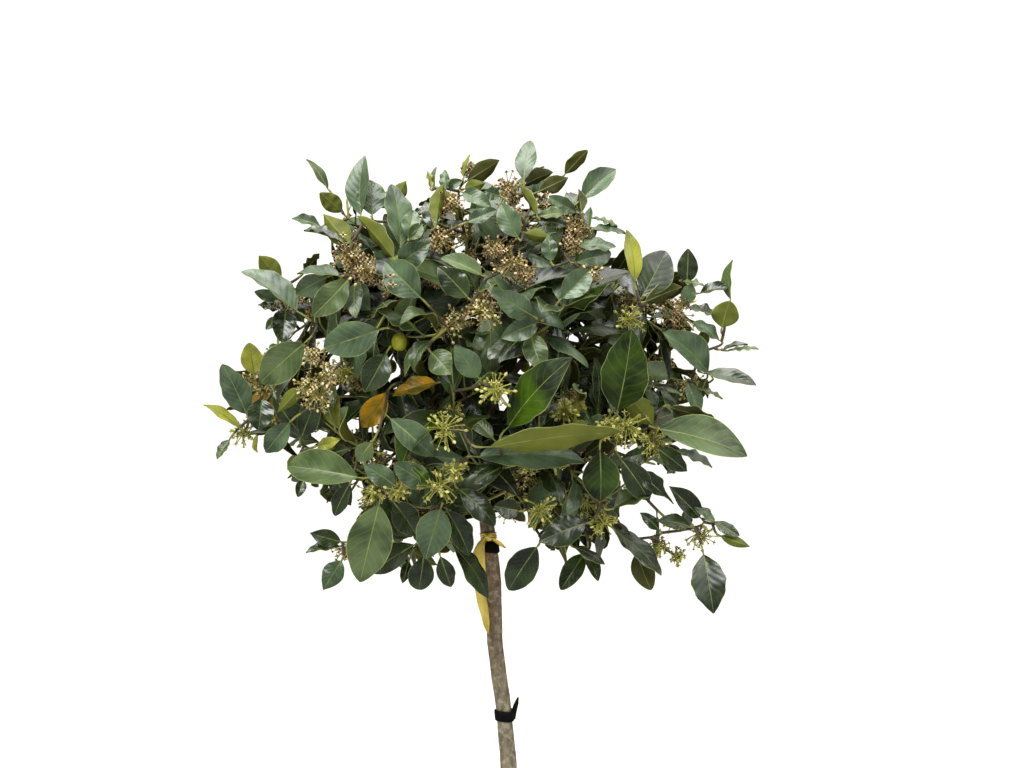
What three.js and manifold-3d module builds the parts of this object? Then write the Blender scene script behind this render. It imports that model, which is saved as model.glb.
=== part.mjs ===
// A half-standard holly topiary: one clear stem, short boughs from its head, and a loose round crown of
// leafy shoots in blossom. Millimetres. +X is to the right of the front view, +Y away from the viewer,
// +Z up. The origin is the middle of the flat cut under the stem, at ground level.

import * as THREE from "three";
import { mergeVertices } from "three/addons/utils/BufferGeometryUtils.js";
import Module from "manifold-3d";

const wasm = await Module();
wasm.setup();

// Stem: a round pole that leans to the left, the more the higher, waves a little below the crown, and flares
// at the root.
const STEM_TOP = 936;
const STEM_LEAN_FOOT = 0.034; // sideways run for each unit of height
const STEM_LEAN_HEAD = 0.08;
const STEM_WAVE = 1.9;
const STEM_WAVE_LENGTH = 160;
const STEM_WAVE_FROM = 585;
const STEM_RADIUS_FOOT = 10.5;
const STEM_RADIUS_HEAD = 7.6;
const STEM_RADIUS_TIP = 4.6;
const STEM_HEAD = 800; // where the clear stem ends and the first boughs leave
const ROOT_FLARE = 8;
const ROOT_FLARE_HEIGHT = 22;
const ROOT_LOBES = 5;
const ROOT_LOBE_SHARE = 0.28;
const STEM_SIDES = 12;
const STEM_RINGS = 20;
const STEM_RING_CROWDING = 1.7; // above 1, rings lie closer together towards the root

// Crown: how far leaf tips reach from its middle, in the plane across the view, every 20 degrees
// anticlockwise from +X, and towards and away from the viewer.
const CROWN_CENTRE = new THREE.Vector3(-55, 0, 954);
const CROWN_REACH = [
  243, 252, 196, 212, 222, 210, 220, 226, 240, 268, 258, 222, 246, 227, 218, 236, 240, 240,
];
const CROWN_REACH_DEPTH = 236;

// Long shoots stand out of the round outline: direction across the view in degrees, how far their tips lie
// from the crown's middle, and how far they lean out of that plane in degrees, towards the viewer below 0.
const LONG_SHOOTS = [
  { name: "lower right", turn: -39, reach: 260, out: -3 },
  { name: "right", turn: -20, reach: 214, out: -4 },
  { name: "upper right", turn: 18, reach: 228, out: -4 },
  { name: "top right", turn: 60, reach: 194, out: 6 },
  { name: "top left", turn: 129, reach: 224, out: -10 },
  { name: "left", turn: 181, reach: 230, out: -6 },
  { name: "left, behind", turn: 192, reach: 230, out: 9 },
  { name: "lower left", turn: 239, reach: 204, out: -8 },
];

// Boughs: each leaves the stem at its own height and arches over to the axis of its mass.
const BOUGH_RADIUS_FOOT = 4.4;
const BOUGH_RADIUS_TIP = 2.9;
const BOUGH_REACH = 92; // from the crown's middle to a bough's tip
const BOUGH_ARCH = 44; // length of the straight run-out at the tip
const BOUGH_SIDES = 6;
const BOUGH_RINGS = 4;
const LOWER_BOUGHS_FROM = 812; // height on the stem
const UPPER_BOUGHS_FROM = 866;
const BOUGH_SPACING = 12; // up the stem, from one bough of a ring to the next
const BOUGH_STRIDE = 3; // places round the ring between boughs that follow each other up the stem

// Foliage: one mass on the crown's top, and two rings of masses round it.
const MASSES = [
  { name: "top", azimuth: 0, elevation: 90 },
  { name: "upper_front", azimuth: 270, elevation: 26 },
  { name: "upper_right", azimuth: 342, elevation: 26 },
  { name: "upper_back_right", azimuth: 54, elevation: 26 },
  { name: "upper_back_left", azimuth: 126, elevation: 26 },
  { name: "upper_left", azimuth: 198, elevation: 26 },
  { name: "lower_front_right", azimuth: 306, elevation: -30 },
  { name: "lower_right", azimuth: 18, elevation: -30 },
  { name: "lower_back", azimuth: 90, elevation: -30 },
  { name: "lower_left", azimuth: 162, elevation: -30 },
  { name: "lower_front_left", azimuth: 234, elevation: -30 },
];
const SHOOT_COUNT = 112;
const INNER_SHOOT_EVERY = 5;
const INNER_SHOOT_SHARE = 0.56; // of the outer shoots' reach
const SHOOT_INSET = 40; // a shoot's tip lies this far inside the reach of its leaves
const REACH_JITTER = 9;
const OPEN_CONE = 24; // degrees round the stem, straight down, with no shoots
const MASS_STEM_SHARE = 0.62; // of the reach, where a mass's own stem ends
const MASS_STEM_RADIUS = 2.8;
const MASS_STEM_SIDES = 5;
const FORKS_ON_STEM = [0.25, 0.4, 0.55, 0.7, 0.85]; // shares of its length
const FORKS_ON_TWIG = [0.3, 0.5, 0.7];
const TWIG_RADIUS_FOOT = 2.1;
const TWIG_RADIUS_TIP = 1.5;
const TWIG_COLLAR = 6; // from the middle of its parent, where a twig has its full thickness
const TURN_BACK_PENALTY = 1.1;
const SPACE_GAP = 1.2; // between the spaces of two masses
const LIMB_CLEARANCE = 1;
const TOUCH_GAP = 0.3; // between solids that meet
const CUT_TOLERANCE = 0.06; // how far a cut's smallest facets may move when they are merged

// Leaves: thick, elliptical and pointed, in a spiral on the last part of each shoot.
const LEAVES_ON_A_SHOOT = 5;
const LEAF_LENGTH = 78;
const LEAF_LENGTH_SPREAD = 12;
const LEAF_WIDTH_SHARE = 0.5;
const LEAF_THICKNESS = 2;
const LEAF_THICKEST = 0.3; // of its length, from the root
const LEAF_FOLD_SHARE = 0.1;
const LEAF_DROOP_SHARE = 0.1;
const LIGHT_FROM_ABOVE = 0.9; // how far blades turn up to the sky instead of out of the crown
const ROOT_DEPTH = 0.7; // of leaves and blossom, past a twig's middle
const ROOT_SHARE = 0.003; // the most of a leaf or blossom that may lie inside its twig
const LEAF_TIP_INSET = 2;
const LEAFY_SHARE = 0.9; // of a twig's length, from its tip
const LEAF_SPACING = 11;
const LEAF_SPREAD_TIP = 18;
const LEAF_SPREAD_FOOT = 75;
const LEAF_SPREAD_CURVE = 0.6;
const LEAF_TRIES = 8;
const TRY_TURN = 45; // degrees round the shoot to the next place tried
const GOLDEN_TURN = 137.5;

// Blossom: a ball of stalked flowers round a shoot, below its last leaves.
const BLOSSOM_RADIUS = 10;
const BLOSSOM_BACK = 32; // from the shoot's tip
const BLOSSOM_SHARE = 0.6; // of the outer shoots
const BLOSSOM_SPREAD = 70; // degrees from the shoot

// Ties: two black straps round the stem, the lower one with a free end that stands up at its right.
const STRAPS = [
  { name: "tie_strap_upper", height: 769, width: 12, endLength: 0 },
  { name: "tie_strap_lower", height: 592, width: 11, endLength: 24 },
];
const STRAP_THICKNESS = 1.4;
const STRAP_END_WIDTH = 8;
const STRAP_END_TILT = 14; // degrees out from the stem

// Label ribbon: a plain yellow band knotted at the front above the upper strap, with a long tail down the
// stem's left side and a short end to the right.
const RIBBON_HEIGHT = 780;
const RIBBON_BAND_WIDTH = 6;
const RIBBON_THICKNESS = 0.8;
const RIBBON_KNOT = { width: 7, depth: 3, height: 7 };
const RIBBON_DROP = 101; // from the knot to the tail's point
const RIBBON_TAIL_WIDTH = 12;
const RIBBON_TAIL_SWING = 14; // how far the tail hangs to the left
const RIBBON_END_LENGTH = 19;
const RIBBON_END_WIDTH = 5;

const MATERIALS = {
  bark: new THREE.MeshStandardMaterial({ color: 0x7d7465, roughness: 0.85 }),
  foliage: new THREE.MeshStandardMaterial({ color: 0x2f4a2c, roughness: 0.45 }),
  strap: new THREE.MeshStandardMaterial({ color: 0x17161b, roughness: 0.6 }),
  ribbon: new THREE.MeshStandardMaterial({ color: 0xd9bd4a, roughness: 0.5 }),
};

const UP = new THREE.Vector3(0, 0, 1);
const STEEP = 0.9; // height of a unit vector too steep to be measured against UP
const SMALL_STEP = 1e-3; // along a route, for its direction
const MERGE_DISTANCE = 1e-4;
const radians = THREE.MathUtils.degToRad;
const mix = THREE.MathUtils.lerp;

// A repeatable stream of numbers from 0 to 1.
function seeded(seed) {
  let state = seed >>> 0;
  return () => {
    state = (state + 0x6d2b79f5) >>> 0;
    let t = Math.imul(state ^ (state >>> 15), state | 1);
    t ^= t + Math.imul(t ^ (t >>> 7), t | 61);
    return ((t ^ (t >>> 14)) >>> 0) / 4294967296;
  };
}

// The unit vector at an azimuth anticlockwise from +X and an elevation above the horizon.
function heading(azimuth, elevation) {
  const flat = Math.cos(radians(elevation));
  return new THREE.Vector3(
    flat * Math.cos(radians(azimuth)),
    flat * Math.sin(radians(azimuth)),
    Math.sin(radians(elevation)),
  );
}

// Two unit vectors square to direction and to each other.
function crossFrame(direction) {
  const guide = Math.abs(direction.z) > STEEP ? new THREE.Vector3(1, 0, 0) : UP;
  const side = new THREE.Vector3().crossVectors(guide, direction).normalize();
  return { side, other: new THREE.Vector3().crossVectors(side, direction) };
}

// A closed three.js geometry as a solid: corners that lie at one place are merged, and faces with no area
// between them are left out.
function solidOf(geometry) {
  const bare = geometry.clone();
  bare.deleteAttribute("normal");
  bare.deleteAttribute("uv");
  const merged = mergeVertices(bare, MERGE_DISTANCE);
  const triVerts = [];
  for (let i = 0; i < merged.index.count; i += 3) {
    const [a, b, c] = merged.index.array.subarray(i, i + 3);
    if (a !== b && b !== c && c !== a) triVerts.push(a, b, c);
  }
  return new wasm.Manifold(
    new wasm.Mesh({
      numProp: 3,
      vertProperties: merged.attributes.position.array,
      triVerts: new Uint32Array(triVerts),
    }),
  );
}

// A solid without the loose scraps that a cut or a join leaves beside its largest body.
function largestBody(solid) {
  return solid.decompose().reduce((most, body) => (body.volume() > most.volume() ? body : most));
}

// A solid as a three.js mesh.
function meshOf(name, solid, material) {
  const made = solid.getMesh();
  const geometry = new THREE.BufferGeometry();
  geometry.setAttribute("position", new THREE.BufferAttribute(made.vertProperties, 3));
  geometry.setIndex(new THREE.BufferAttribute(made.triVerts, 1));
  geometry.computeVertexNormals();
  const mesh = new THREE.Mesh(geometry, material);
  mesh.name = name;
  return mesh;
}

// A tapering limb: a cylinder bent along route(t), of radius radius(t, turn), with t from 0 at its foot to 1.
// Its rings are square to the route and aren't turned against each other. Level keeps them horizontal.
function limbGeometry(route, radius, sides, rings, level = false) {
  const geometry = new THREE.CylinderGeometry(1, 1, 1, sides, rings);
  const corners = geometry.attributes.position;
  const guide = crossFrame(level ? UP : route(1).sub(route(0)).normalize()).side;
  for (let i = 0; i < corners.count; i++) {
    const t = corners.getY(i) + 0.5;
    const centre = route(t);
    const run = route(Math.min(1, t + SMALL_STEP)).sub(route(Math.max(0, t - SMALL_STEP)));
    const ahead = level ? UP : run.normalize();
    const side = guide.clone().addScaledVector(ahead, -guide.dot(ahead)).normalize();
    const other = new THREE.Vector3().crossVectors(side, ahead);
    const x = corners.getX(i);
    const z = corners.getZ(i);
    const width = radius(t, Math.atan2(z, x));
    centre.addScaledVector(side, x * width).addScaledVector(other, z * width);
    corners.setXYZ(i, centre.x, centre.y, centre.z);
  }
  return geometry;
}

// The middle of the stem at a height.
function stemAxis(height) {
  const low = Math.min(height, STEM_WAVE_FROM);
  const high = height - low;
  const lean =
    STEM_LEAN_FOOT * low + ((STEM_LEAN_HEAD - STEM_LEAN_FOOT) * low * low) / (2 * STEM_WAVE_FROM);
  const wave = STEM_WAVE * (Math.cos((2 * Math.PI * high) / STEM_WAVE_LENGTH) - 1);
  return new THREE.Vector3(wave - lean - STEM_LEAN_HEAD * high, 0, height);
}

// The stem's radius at a height, in a turn round it in radians: its root swells into lobes.
function stemRadius(height, turn = 0) {
  const straight =
    height < STEM_HEAD
      ? mix(STEM_RADIUS_FOOT, STEM_RADIUS_HEAD, height / STEM_HEAD)
      : mix(STEM_RADIUS_HEAD, STEM_RADIUS_TIP, (height - STEM_HEAD) / (STEM_TOP - STEM_HEAD));
  const flare = ROOT_FLARE * Math.exp(-height / ROOT_FLARE_HEIGHT);
  return straight + flare * (1 + ROOT_LOBE_SHARE * Math.cos(ROOT_LOBES * turn));
}

// The stem from the ground to its tip, grown by extra all round and at the tip.
function stemSolid(extra) {
  const heightAt = (t) => (STEM_TOP + extra) * t ** STEM_RING_CROWDING;
  return solidOf(
    limbGeometry(
      (t) => stemAxis(heightAt(t)),
      (t, turn) => stemRadius(heightAt(t), turn) + extra,
      STEM_SIDES,
      STEM_RINGS,
      true,
    ),
  );
}

// Where a bough leaves the stem's middle: the top bough at its tip, and each ring of boughs one above the
// other, so that neighbours on the stem point different ways.
function boughFoot(index) {
  const { elevation } = MASSES[index];
  const ring = MASSES.filter((mass) => mass.elevation === elevation);
  if (ring.length === 1) return stemAxis(STEM_TOP);
  const climb = (ring.indexOf(MASSES[index]) * BOUGH_STRIDE) % ring.length;
  return stemAxis((elevation > 0 ? UPPER_BOUGHS_FROM : LOWER_BOUGHS_FROM) + climb * BOUGH_SPACING);
}

const massAxis = (index) => heading(MASSES[index].azimuth, MASSES[index].elevation);
const boughTip = (index) => CROWN_CENTRE.clone().addScaledVector(massAxis(index), BOUGH_REACH);

// A bough from the stem's middle to its tip, grown by extra all round.
function boughSolid(index, extra) {
  const tip = boughTip(index);
  const knee = tip.clone().addScaledVector(massAxis(index), -BOUGH_ARCH);
  const route = new THREE.QuadraticBezierCurve3(boughFoot(index), knee, tip);
  const radius = (t) => mix(BOUGH_RADIUS_FOOT, BOUGH_RADIUS_TIP, t) + extra;
  return solidOf(limbGeometry((t) => route.getPoint(t), radius, BOUGH_SIDES, BOUGH_RINGS));
}

// How far leaf tips reach from the crown's middle in a direction.
function crownReach(direction) {
  const turn = (THREE.MathUtils.radToDeg(Math.atan2(direction.z, direction.x)) + 360) % 360;
  const place = (turn / 360) * CROWN_REACH.length;
  const from = Math.floor(place) % CROWN_REACH.length;
  const to = (from + 1) % CROWN_REACH.length;
  const across = mix(CROWN_REACH[from], CROWN_REACH[to], place - Math.floor(place));
  return mix(across, CROWN_REACH_DEPTH, direction.y ** 2);
}

// The tips of all shoots: an even spiral of directions over the crown, some of them kept inside it, and
// the long shoots.
function shootTips() {
  const random = seeded(2969);
  const tips = [];
  for (let k = 0; k < SHOOT_COUNT; k++) {
    const rise = 1 - (2 * k + 1) / SHOOT_COUNT;
    const direction = heading(k * GOLDEN_TURN, THREE.MathUtils.radToDeg(Math.asin(rise)));
    const jitter = (random() * 2 - 1) * REACH_JITTER;
    if (direction.z < -Math.cos(radians(OPEN_CONE))) continue;
    const inner = k % INNER_SHOOT_EVERY === 2;
    const reach = (crownReach(direction) - SHOOT_INSET + jitter) * (inner ? INNER_SHOOT_SHARE : 1);
    tips.push({ direction, reach, inner });
  }
  for (const shoot of LONG_SHOOTS) {
    const flat = Math.cos(radians(shoot.out));
    const direction = new THREE.Vector3(
      flat * Math.cos(radians(shoot.turn)),
      Math.sin(radians(shoot.out)),
      flat * Math.sin(radians(shoot.turn)),
    );
    tips.push({ direction, reach: shoot.reach, inner: false });
  }
  return tips;
}

// The mass that a direction from the crown's middle belongs to.
function massOf(direction) {
  const closeness = MASSES.map((_, index) => direction.dot(massAxis(index)));
  return closeness.indexOf(Math.max(...closeness));
}

// Whether all corners of a solid lie in the space of a mass, clear of its neighbours' spaces.
function insideSpace(solid, index) {
  const { vertProperties: corners } = solid.getMesh();
  const point = new THREE.Vector3();
  for (let other = 0; other < MASSES.length; other++) {
    if (other === index) continue;
    const wall = massAxis(index).sub(massAxis(other)).normalize();
    for (let i = 0; i < corners.length; i += 3) {
      point.fromArray(corners, i).sub(CROWN_CENTRE);
      if (point.dot(wall) < SPACE_GAP / 2) return false;
    }
  }
  return true;
}

// A straight twig with three sides. Its foot comes to a point in the middle of its parent.
function twigSolid(foot, tip) {
  const collar = TWIG_COLLAR / foot.distanceTo(tip);
  const route = (t) => foot.clone().lerp(tip, t === 0.5 ? collar : t);
  const radius = (t) => (t < 0.5 ? 0 : mix(TWIG_RADIUS_FOOT, TWIG_RADIUS_TIP, 2 * t - 1));
  return solidOf(limbGeometry(route, radius, 3, 2));
}

// A leaf of twelve faces: a flattened, folded and drooping blade with six corners round its edge.
function leafSolid(foot, direction, face, length) {
  const blade = new THREE.SphereGeometry(1, 6, 2);
  const corners = blade.attributes.position;
  const half = length / 2;
  for (let i = 0; i < corners.count; i++) {
    const across = corners.getZ(i) * half * LEAF_WIDTH_SHARE;
    const middle = Math.abs(corners.getY(i)) > 0.5;
    const run = middle ? LEAF_THICKEST : (corners.getX(i) + 1) / 2;
    const lift =
      (corners.getY(i) * LEAF_THICKNESS) / 2 +
      Math.abs(across) * LEAF_FOLD_SHARE -
      length * LEAF_DROOP_SHARE * run * run;
    corners.setXYZ(i, length * run - ROOT_DEPTH, lift, across);
  }
  const side = new THREE.Vector3().crossVectors(direction, face);
  blade.applyMatrix4(new THREE.Matrix4().makeBasis(direction, face, side));
  blade.translate(foot.x, foot.y, foot.z);
  return solidOf(blade);
}

// A twig from the nearest free place on the mass's wood to a shoot's tip.
function shootTwig(tip, wood) {
  const end = CROWN_CENTRE.clone().addScaledVector(tip.direction, tip.reach);
  const cost = (place) => {
    const run = end.clone().sub(place);
    const back = 1 - run.clone().normalize().dot(tip.direction);
    return run.length() * (1 + TURN_BACK_PENALTY * back);
  };
  const foot = wood.reduce((best, place) => (cost(place) < cost(best) ? place : best));
  const run = end.clone().sub(foot);
  const solid = twigSolid(foot, end);
  return { foot, end, length: run.length(), axis: run.normalize(), solid };
}

// Whether a piece that grows from a twig stays in its mass's space and meets nothing but the twig, once.
function growsClear(piece, twig, mass) {
  if (!insideSpace(piece, mass.index)) return false;
  const root = piece.intersect(twig.solid);
  if (root.volume() > ROOT_SHARE * piece.volume() || root.decompose().length !== 1) return false;
  const apart = (other) => other === twig.solid || piece.intersect(other).isEmpty();
  return apart(mass.limbs) && mass.solids.every(apart);
}

// The unit vector that leaves a twig at an angle to it, in a turn round it, both in degrees.
function leaning(twig, spread, turn) {
  const { side, other } = crossFrame(twig.axis);
  const away = Math.sin(radians(spread));
  return twig.axis
    .clone()
    .multiplyScalar(Math.cos(radians(spread)))
    .addScaledVector(side, away * Math.cos(radians(turn)))
    .addScaledVector(other, away * Math.sin(radians(turn)));
}

// Adds a ball of blossom to the side of a twig, where it fits.
function addBlossom(twig, turn, mass) {
  if (twig.length < BLOSSOM_BACK) return;
  const outward = leaning(twig, BLOSSOM_SPREAD, turn);
  const ball = new THREE.OctahedronGeometry(BLOSSOM_RADIUS);
  ball.applyQuaternion(new THREE.Quaternion().setFromUnitVectors(UP, outward));
  const place = twig.end.clone().addScaledVector(twig.axis, -BLOSSOM_BACK);
  place.addScaledVector(outward, BLOSSOM_RADIUS - ROOT_DEPTH);
  ball.translate(place.x, place.y, place.z);
  const blossom = solidOf(ball);
  if (growsClear(blossom, twig, mass)) mass.solids.push(blossom);
}

// Adds the leaf at one place in a twig's spiral, turned on until it fits, if it fits at all.
function addLeaf(twig, order, turn, length, mass) {
  const back = Math.min(order * LEAF_SPACING + LEAF_TIP_INSET, twig.length * LEAFY_SHARE);
  const foot = twig.end.clone().addScaledVector(twig.axis, -back);
  const down = (order / (LEAVES_ON_A_SHOOT - 1)) ** LEAF_SPREAD_CURVE;
  const spread = mix(LEAF_SPREAD_TIP, LEAF_SPREAD_FOOT, down);
  const light = foot.clone().sub(CROWN_CENTRE).normalize().addScaledVector(UP, LIGHT_FROM_ABOVE);
  for (let attempt = 0; attempt < LEAF_TRIES; attempt++) {
    const direction = leaning(twig, spread, turn + attempt * TRY_TURN);
    const face = light.clone().addScaledVector(direction, -light.dot(direction)).normalize();
    const leaf = leafSolid(foot, direction, face, length);
    if (!growsClear(leaf, twig, mass)) continue;
    mass.solids.push(leaf);
    return;
  }
}

// A mass of foliage: its stem leaves the bough's tip, twigs branch from the stem and from each other, and
// leaves and balls of blossom grow on the twigs.
function massSolid(index, tips, limbs) {
  const random = seeded(811 + index * 37);
  const axis = massAxis(index);
  const stemFoot = boughTip(index).addScaledVector(axis, TOUCH_GAP);
  const stemTip = CROWN_CENTRE.clone().addScaledVector(axis, crownReach(axis) * MASS_STEM_SHARE);
  const stemRoute = (t) => stemFoot.clone().lerp(stemTip, t);
  const stemWidth = (t) => mix(MASS_STEM_RADIUS, TWIG_RADIUS_FOOT, t);
  const wood = FORKS_ON_STEM.map(stemRoute);
  const stem = solidOf(limbGeometry(stemRoute, stemWidth, MASS_STEM_SIDES, 1));
  const far = (tip) => tip.reach * (2 - tip.direction.dot(axis));
  const own = tips.filter((tip) => massOf(tip.direction) === index).sort((a, b) => far(a) - far(b));
  const mass = { index, limbs, solids: [stem] };
  const twigs = [];
  for (const tip of own) {
    const twig = shootTwig(tip, wood);
    if (!insideSpace(twig.solid, index) || !twig.solid.intersect(limbs).isEmpty()) continue;
    wood.splice(wood.indexOf(twig.foot), 1);
    for (const share of FORKS_ON_TWIG) wood.push(twig.foot.clone().lerp(twig.end, share));
    mass.solids.push(twig.solid);
    twigs.push({ ...twig, blooms: !tip.inner && random() < BLOSSOM_SHARE, turn: random() * 360 });
  }
  for (const twig of twigs) {
    if (twig.blooms) addBlossom(twig, twig.turn + GOLDEN_TURN * LEAVES_ON_A_SHOOT, mass);
  }
  for (let order = 0; order < LEAVES_ON_A_SHOOT; order++) {
    for (const twig of twigs) {
      const length = LEAF_LENGTH + (random() * 2 - 1) * LEAF_LENGTH_SPREAD;
      addLeaf(twig, order, twig.turn + order * GOLDEN_TURN, length, mass);
    }
  }
  return largestBody(wasm.Manifold.union(mass.solids));
}

// A band round the stem: a sleeve that follows the stem's lean, its bore TOUCH_GAP clear.
function bandSolid(height, width, thickness) {
  const heightAt = (t) => height + (t - 0.5) * width;
  const sleeve = limbGeometry(
    (t) => stemAxis(heightAt(t)),
    (t, turn) => stemRadius(heightAt(t), turn) + TOUCH_GAP + thickness,
    STEM_SIDES,
    1,
    true,
  );
  return solidOf(sleeve).subtract(stemSolid(TOUCH_GAP));
}

// A strap, with its free end where it has one.
function strapSolid({ height, width, endLength }) {
  const band = bandSolid(height, width, STRAP_THICKNESS);
  if (!endLength) return band;
  const end = new THREE.BoxGeometry(STRAP_THICKNESS, STRAP_END_WIDTH, endLength);
  end.translate(0, 0, (endLength - width) / 2);
  end.rotateY(radians(STRAP_END_TILT));
  const centre = stemAxis(height);
  end.translate(centre.x + stemRadius(height) + TOUCH_GAP + STRAP_THICKNESS, 0, height);
  return band.add(solidOf(end)).subtract(stemSolid(TOUCH_GAP));
}

// A strip of ribbon across the view, its corners given as [right, up] from the knot.
function ribbonStrip(corners) {
  const outline = new THREE.Shape(corners.map(([right, up]) => new THREE.Vector2(right, up)));
  const strip = new THREE.ExtrudeGeometry(outline, { depth: RIBBON_THICKNESS, bevelEnabled: false });
  return strip.rotateX(Math.PI / 2);
}

// The ribbon: its band, its knot, the tail that swings left and comes back to a point, and the short end.
function ribbonSolid() {
  const centre = stemAxis(RIBBON_HEIGHT);
  const front = stemRadius(RIBBON_HEIGHT) + TOUCH_GAP + STRAP_THICKNESS + TOUCH_GAP;
  const left = -RIBBON_TAIL_SWING;
  const right = left + RIBBON_TAIL_WIDTH;
  const tail = ribbonStrip([
    [-3, -2],
    [left, -0.18 * RIBBON_DROP],
    [left + 1, -0.6 * RIBBON_DROP],
    [left / 2, -0.84 * RIBBON_DROP],
    [0, -RIBBON_DROP],
    [2, -0.88 * RIBBON_DROP],
    [right - 2, -0.6 * RIBBON_DROP],
    [right, -0.2 * RIBBON_DROP],
    [3, -2],
  ]);
  const end = ribbonStrip([
    [0, RIBBON_END_WIDTH / 2],
    [0, -RIBBON_END_WIDTH / 2],
    [RIBBON_END_LENGTH - RIBBON_END_WIDTH, -RIBBON_END_LENGTH / 2],
    [RIBBON_END_LENGTH, -RIBBON_END_LENGTH / 3],
    [RIBBON_END_WIDTH, RIBBON_END_WIDTH / 2],
  ]);
  const knot = new THREE.BoxGeometry(RIBBON_KNOT.width, RIBBON_KNOT.depth, RIBBON_KNOT.height);
  const parts = [tail, end, knot].map((part) => {
    const behind = part === knot ? front + RIBBON_THICKNESS / 2 : front;
    return solidOf(part.translate(centre.x, -behind, RIBBON_HEIGHT));
  });
  const band = bandSolid(RIBBON_HEIGHT, RIBBON_BAND_WIDTH, RIBBON_THICKNESS);
  return wasm.Manifold.union([band, ...parts]).subtract(stemSolid(TOUCH_GAP));
}

const topiary = new THREE.Group();
topiary.name = "holly_standard";
topiary.add(meshOf("stem", stemSolid(0), MATERIALS.bark));
MASSES.forEach(({ name }, index) => {
  const cut = boughSolid(index, 0).subtract(stemSolid(TOUCH_GAP));
  const bough = largestBody(cut.simplify(CUT_TOLERANCE));
  topiary.add(meshOf(`bough_${name}`, bough, MATERIALS.bark));
});

const keepOut = wasm.Manifold.union([
  stemSolid(LIMB_CLEARANCE),
  ...MASSES.map((_, index) => boughSolid(index, LIMB_CLEARANCE)),
]);
const tips = shootTips();
MASSES.forEach(({ name }, index) => {
  topiary.add(meshOf(`foliage_${name}`, massSolid(index, tips, keepOut), MATERIALS.foliage));
});

for (const strap of STRAPS) {
  topiary.add(meshOf(strap.name, strapSolid(strap), MATERIALS.strap));
}
topiary.add(meshOf("label_ribbon", ribbonSolid(), MATERIALS.ribbon));

export default topiary;
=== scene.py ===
"""A half-standard holly topiary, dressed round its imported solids: bark, boughs, twigs, leaves, blossom, the
two tie straps and the label ribbon.

Metres throughout. +X is to the right of the front view, +Y away from the viewer, +Z up. The origin is the
middle of the flat cut under the stem, at ground level.
"""

from __future__ import annotations

import itertools
import logging
import math
from dataclasses import dataclass, field
from enum import Enum

import bpy
import numpy as np
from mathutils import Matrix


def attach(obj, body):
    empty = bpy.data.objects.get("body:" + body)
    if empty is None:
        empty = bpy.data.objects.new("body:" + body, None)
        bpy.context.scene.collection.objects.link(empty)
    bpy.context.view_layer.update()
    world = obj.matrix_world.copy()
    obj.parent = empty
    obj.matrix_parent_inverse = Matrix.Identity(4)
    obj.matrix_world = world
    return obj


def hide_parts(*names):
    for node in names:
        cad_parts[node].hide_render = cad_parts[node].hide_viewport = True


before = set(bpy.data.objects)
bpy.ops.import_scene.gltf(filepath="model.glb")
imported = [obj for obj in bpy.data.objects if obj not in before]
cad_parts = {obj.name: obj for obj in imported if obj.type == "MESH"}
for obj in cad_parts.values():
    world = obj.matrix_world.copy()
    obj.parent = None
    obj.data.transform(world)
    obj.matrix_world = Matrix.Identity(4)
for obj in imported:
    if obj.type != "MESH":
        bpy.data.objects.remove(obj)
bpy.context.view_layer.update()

Points = np.ndarray
Rows = tuple[tuple[float, ...], ...]
Shares = tuple[float, ...]
Span = tuple[float, float]
Colour = tuple[float, ...]
Socket = bpy.types.NodeSocket
Material = bpy.types.Material

GROWS = logging.getLogger("topiary")
BODY = "root"
UP = np.array([0.0, 0.0, 1.0])
EYE = np.array([-0.0258, -1.3, 0.9393])  # the place of the front view
CROWN_MIDDLE = np.array([-0.055, 0.0, 0.954])
STEEP = 0.9  # of a unit vector too upright to be measured against UP
GOLDEN_TURN = 137.5  # degrees round a shoot from one leaf to the next
FULL_TURN = 2 * math.pi
MILLIMETRES = 1000  # in a metre
WORD = 0xFFFFFFFF  # the numbers of a stream are 32 bits long
STRIDE = 0x6D2B79F5  # from one state of a stream to the next
CLOUDS = (0.3, 0.7)  # the range in which most of a noise lies

# Each mass's name, azimuth and elevation from the crown's middle in degrees, in the order of the solids.
MASSES = (
    ("top", 0, 90),
    ("upper_front", 270, 26), ("upper_right", 342, 26), ("upper_back_right", 54, 26), ("upper_back_left", 126, 26),
    ("upper_left", 198, 26), ("lower_front_right", 306, -30), ("lower_right", 18, -30), ("lower_back", 90, -30),
    ("lower_left", 162, -30), ("lower_front_left", 234, -30),
)  # fmt: skip
FOLIAGE = [f"foliage_{name}" for name, _, _ in MASSES]
BOUGHS = [f"bough_{name}" for name, _, _ in MASSES]


def rgb(red: int, green: int, blue: int) -> Colour:
    """A colour mixed as on a screen, from 0 to 255 each, as light."""
    shares = [part / 255 for part in (red, green, blue)]
    return (*(s / 12.92 if s <= 0.04045 else ((s + 0.055) / 1.055) ** 2.4 for s in shares), 1.0)


def mix(low: float, high: float, share: float) -> float:
    """The value that lies a share of the way from low to high."""
    return low + (high - low) * share


def unit(vector: Points) -> Points:
    """The vector at length 1."""
    return vector / np.linalg.norm(vector)


def circle(count: int) -> Points:
    """The turns of points spread evenly round a ring, in radians."""
    return np.arange(count) * FULL_TURN / count


def ball_turns(rings: int, sides: int) -> list[Points]:
    """The rise and turn of points all over a ball, by ring and place, in radians."""
    return np.meshgrid(np.linspace(-math.pi / 2, math.pi / 2, rings), circle(sides), indexing="ij")


def heading(azimuth: float, elevation: float) -> Points:
    """The unit vector at an azimuth anticlockwise from +X and an elevation above the horizon, in degrees."""
    turn, rise = math.radians(azimuth), math.radians(elevation)
    return np.array([math.cos(rise) * math.cos(turn), math.cos(rise) * math.sin(turn), math.sin(rise)])


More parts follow.
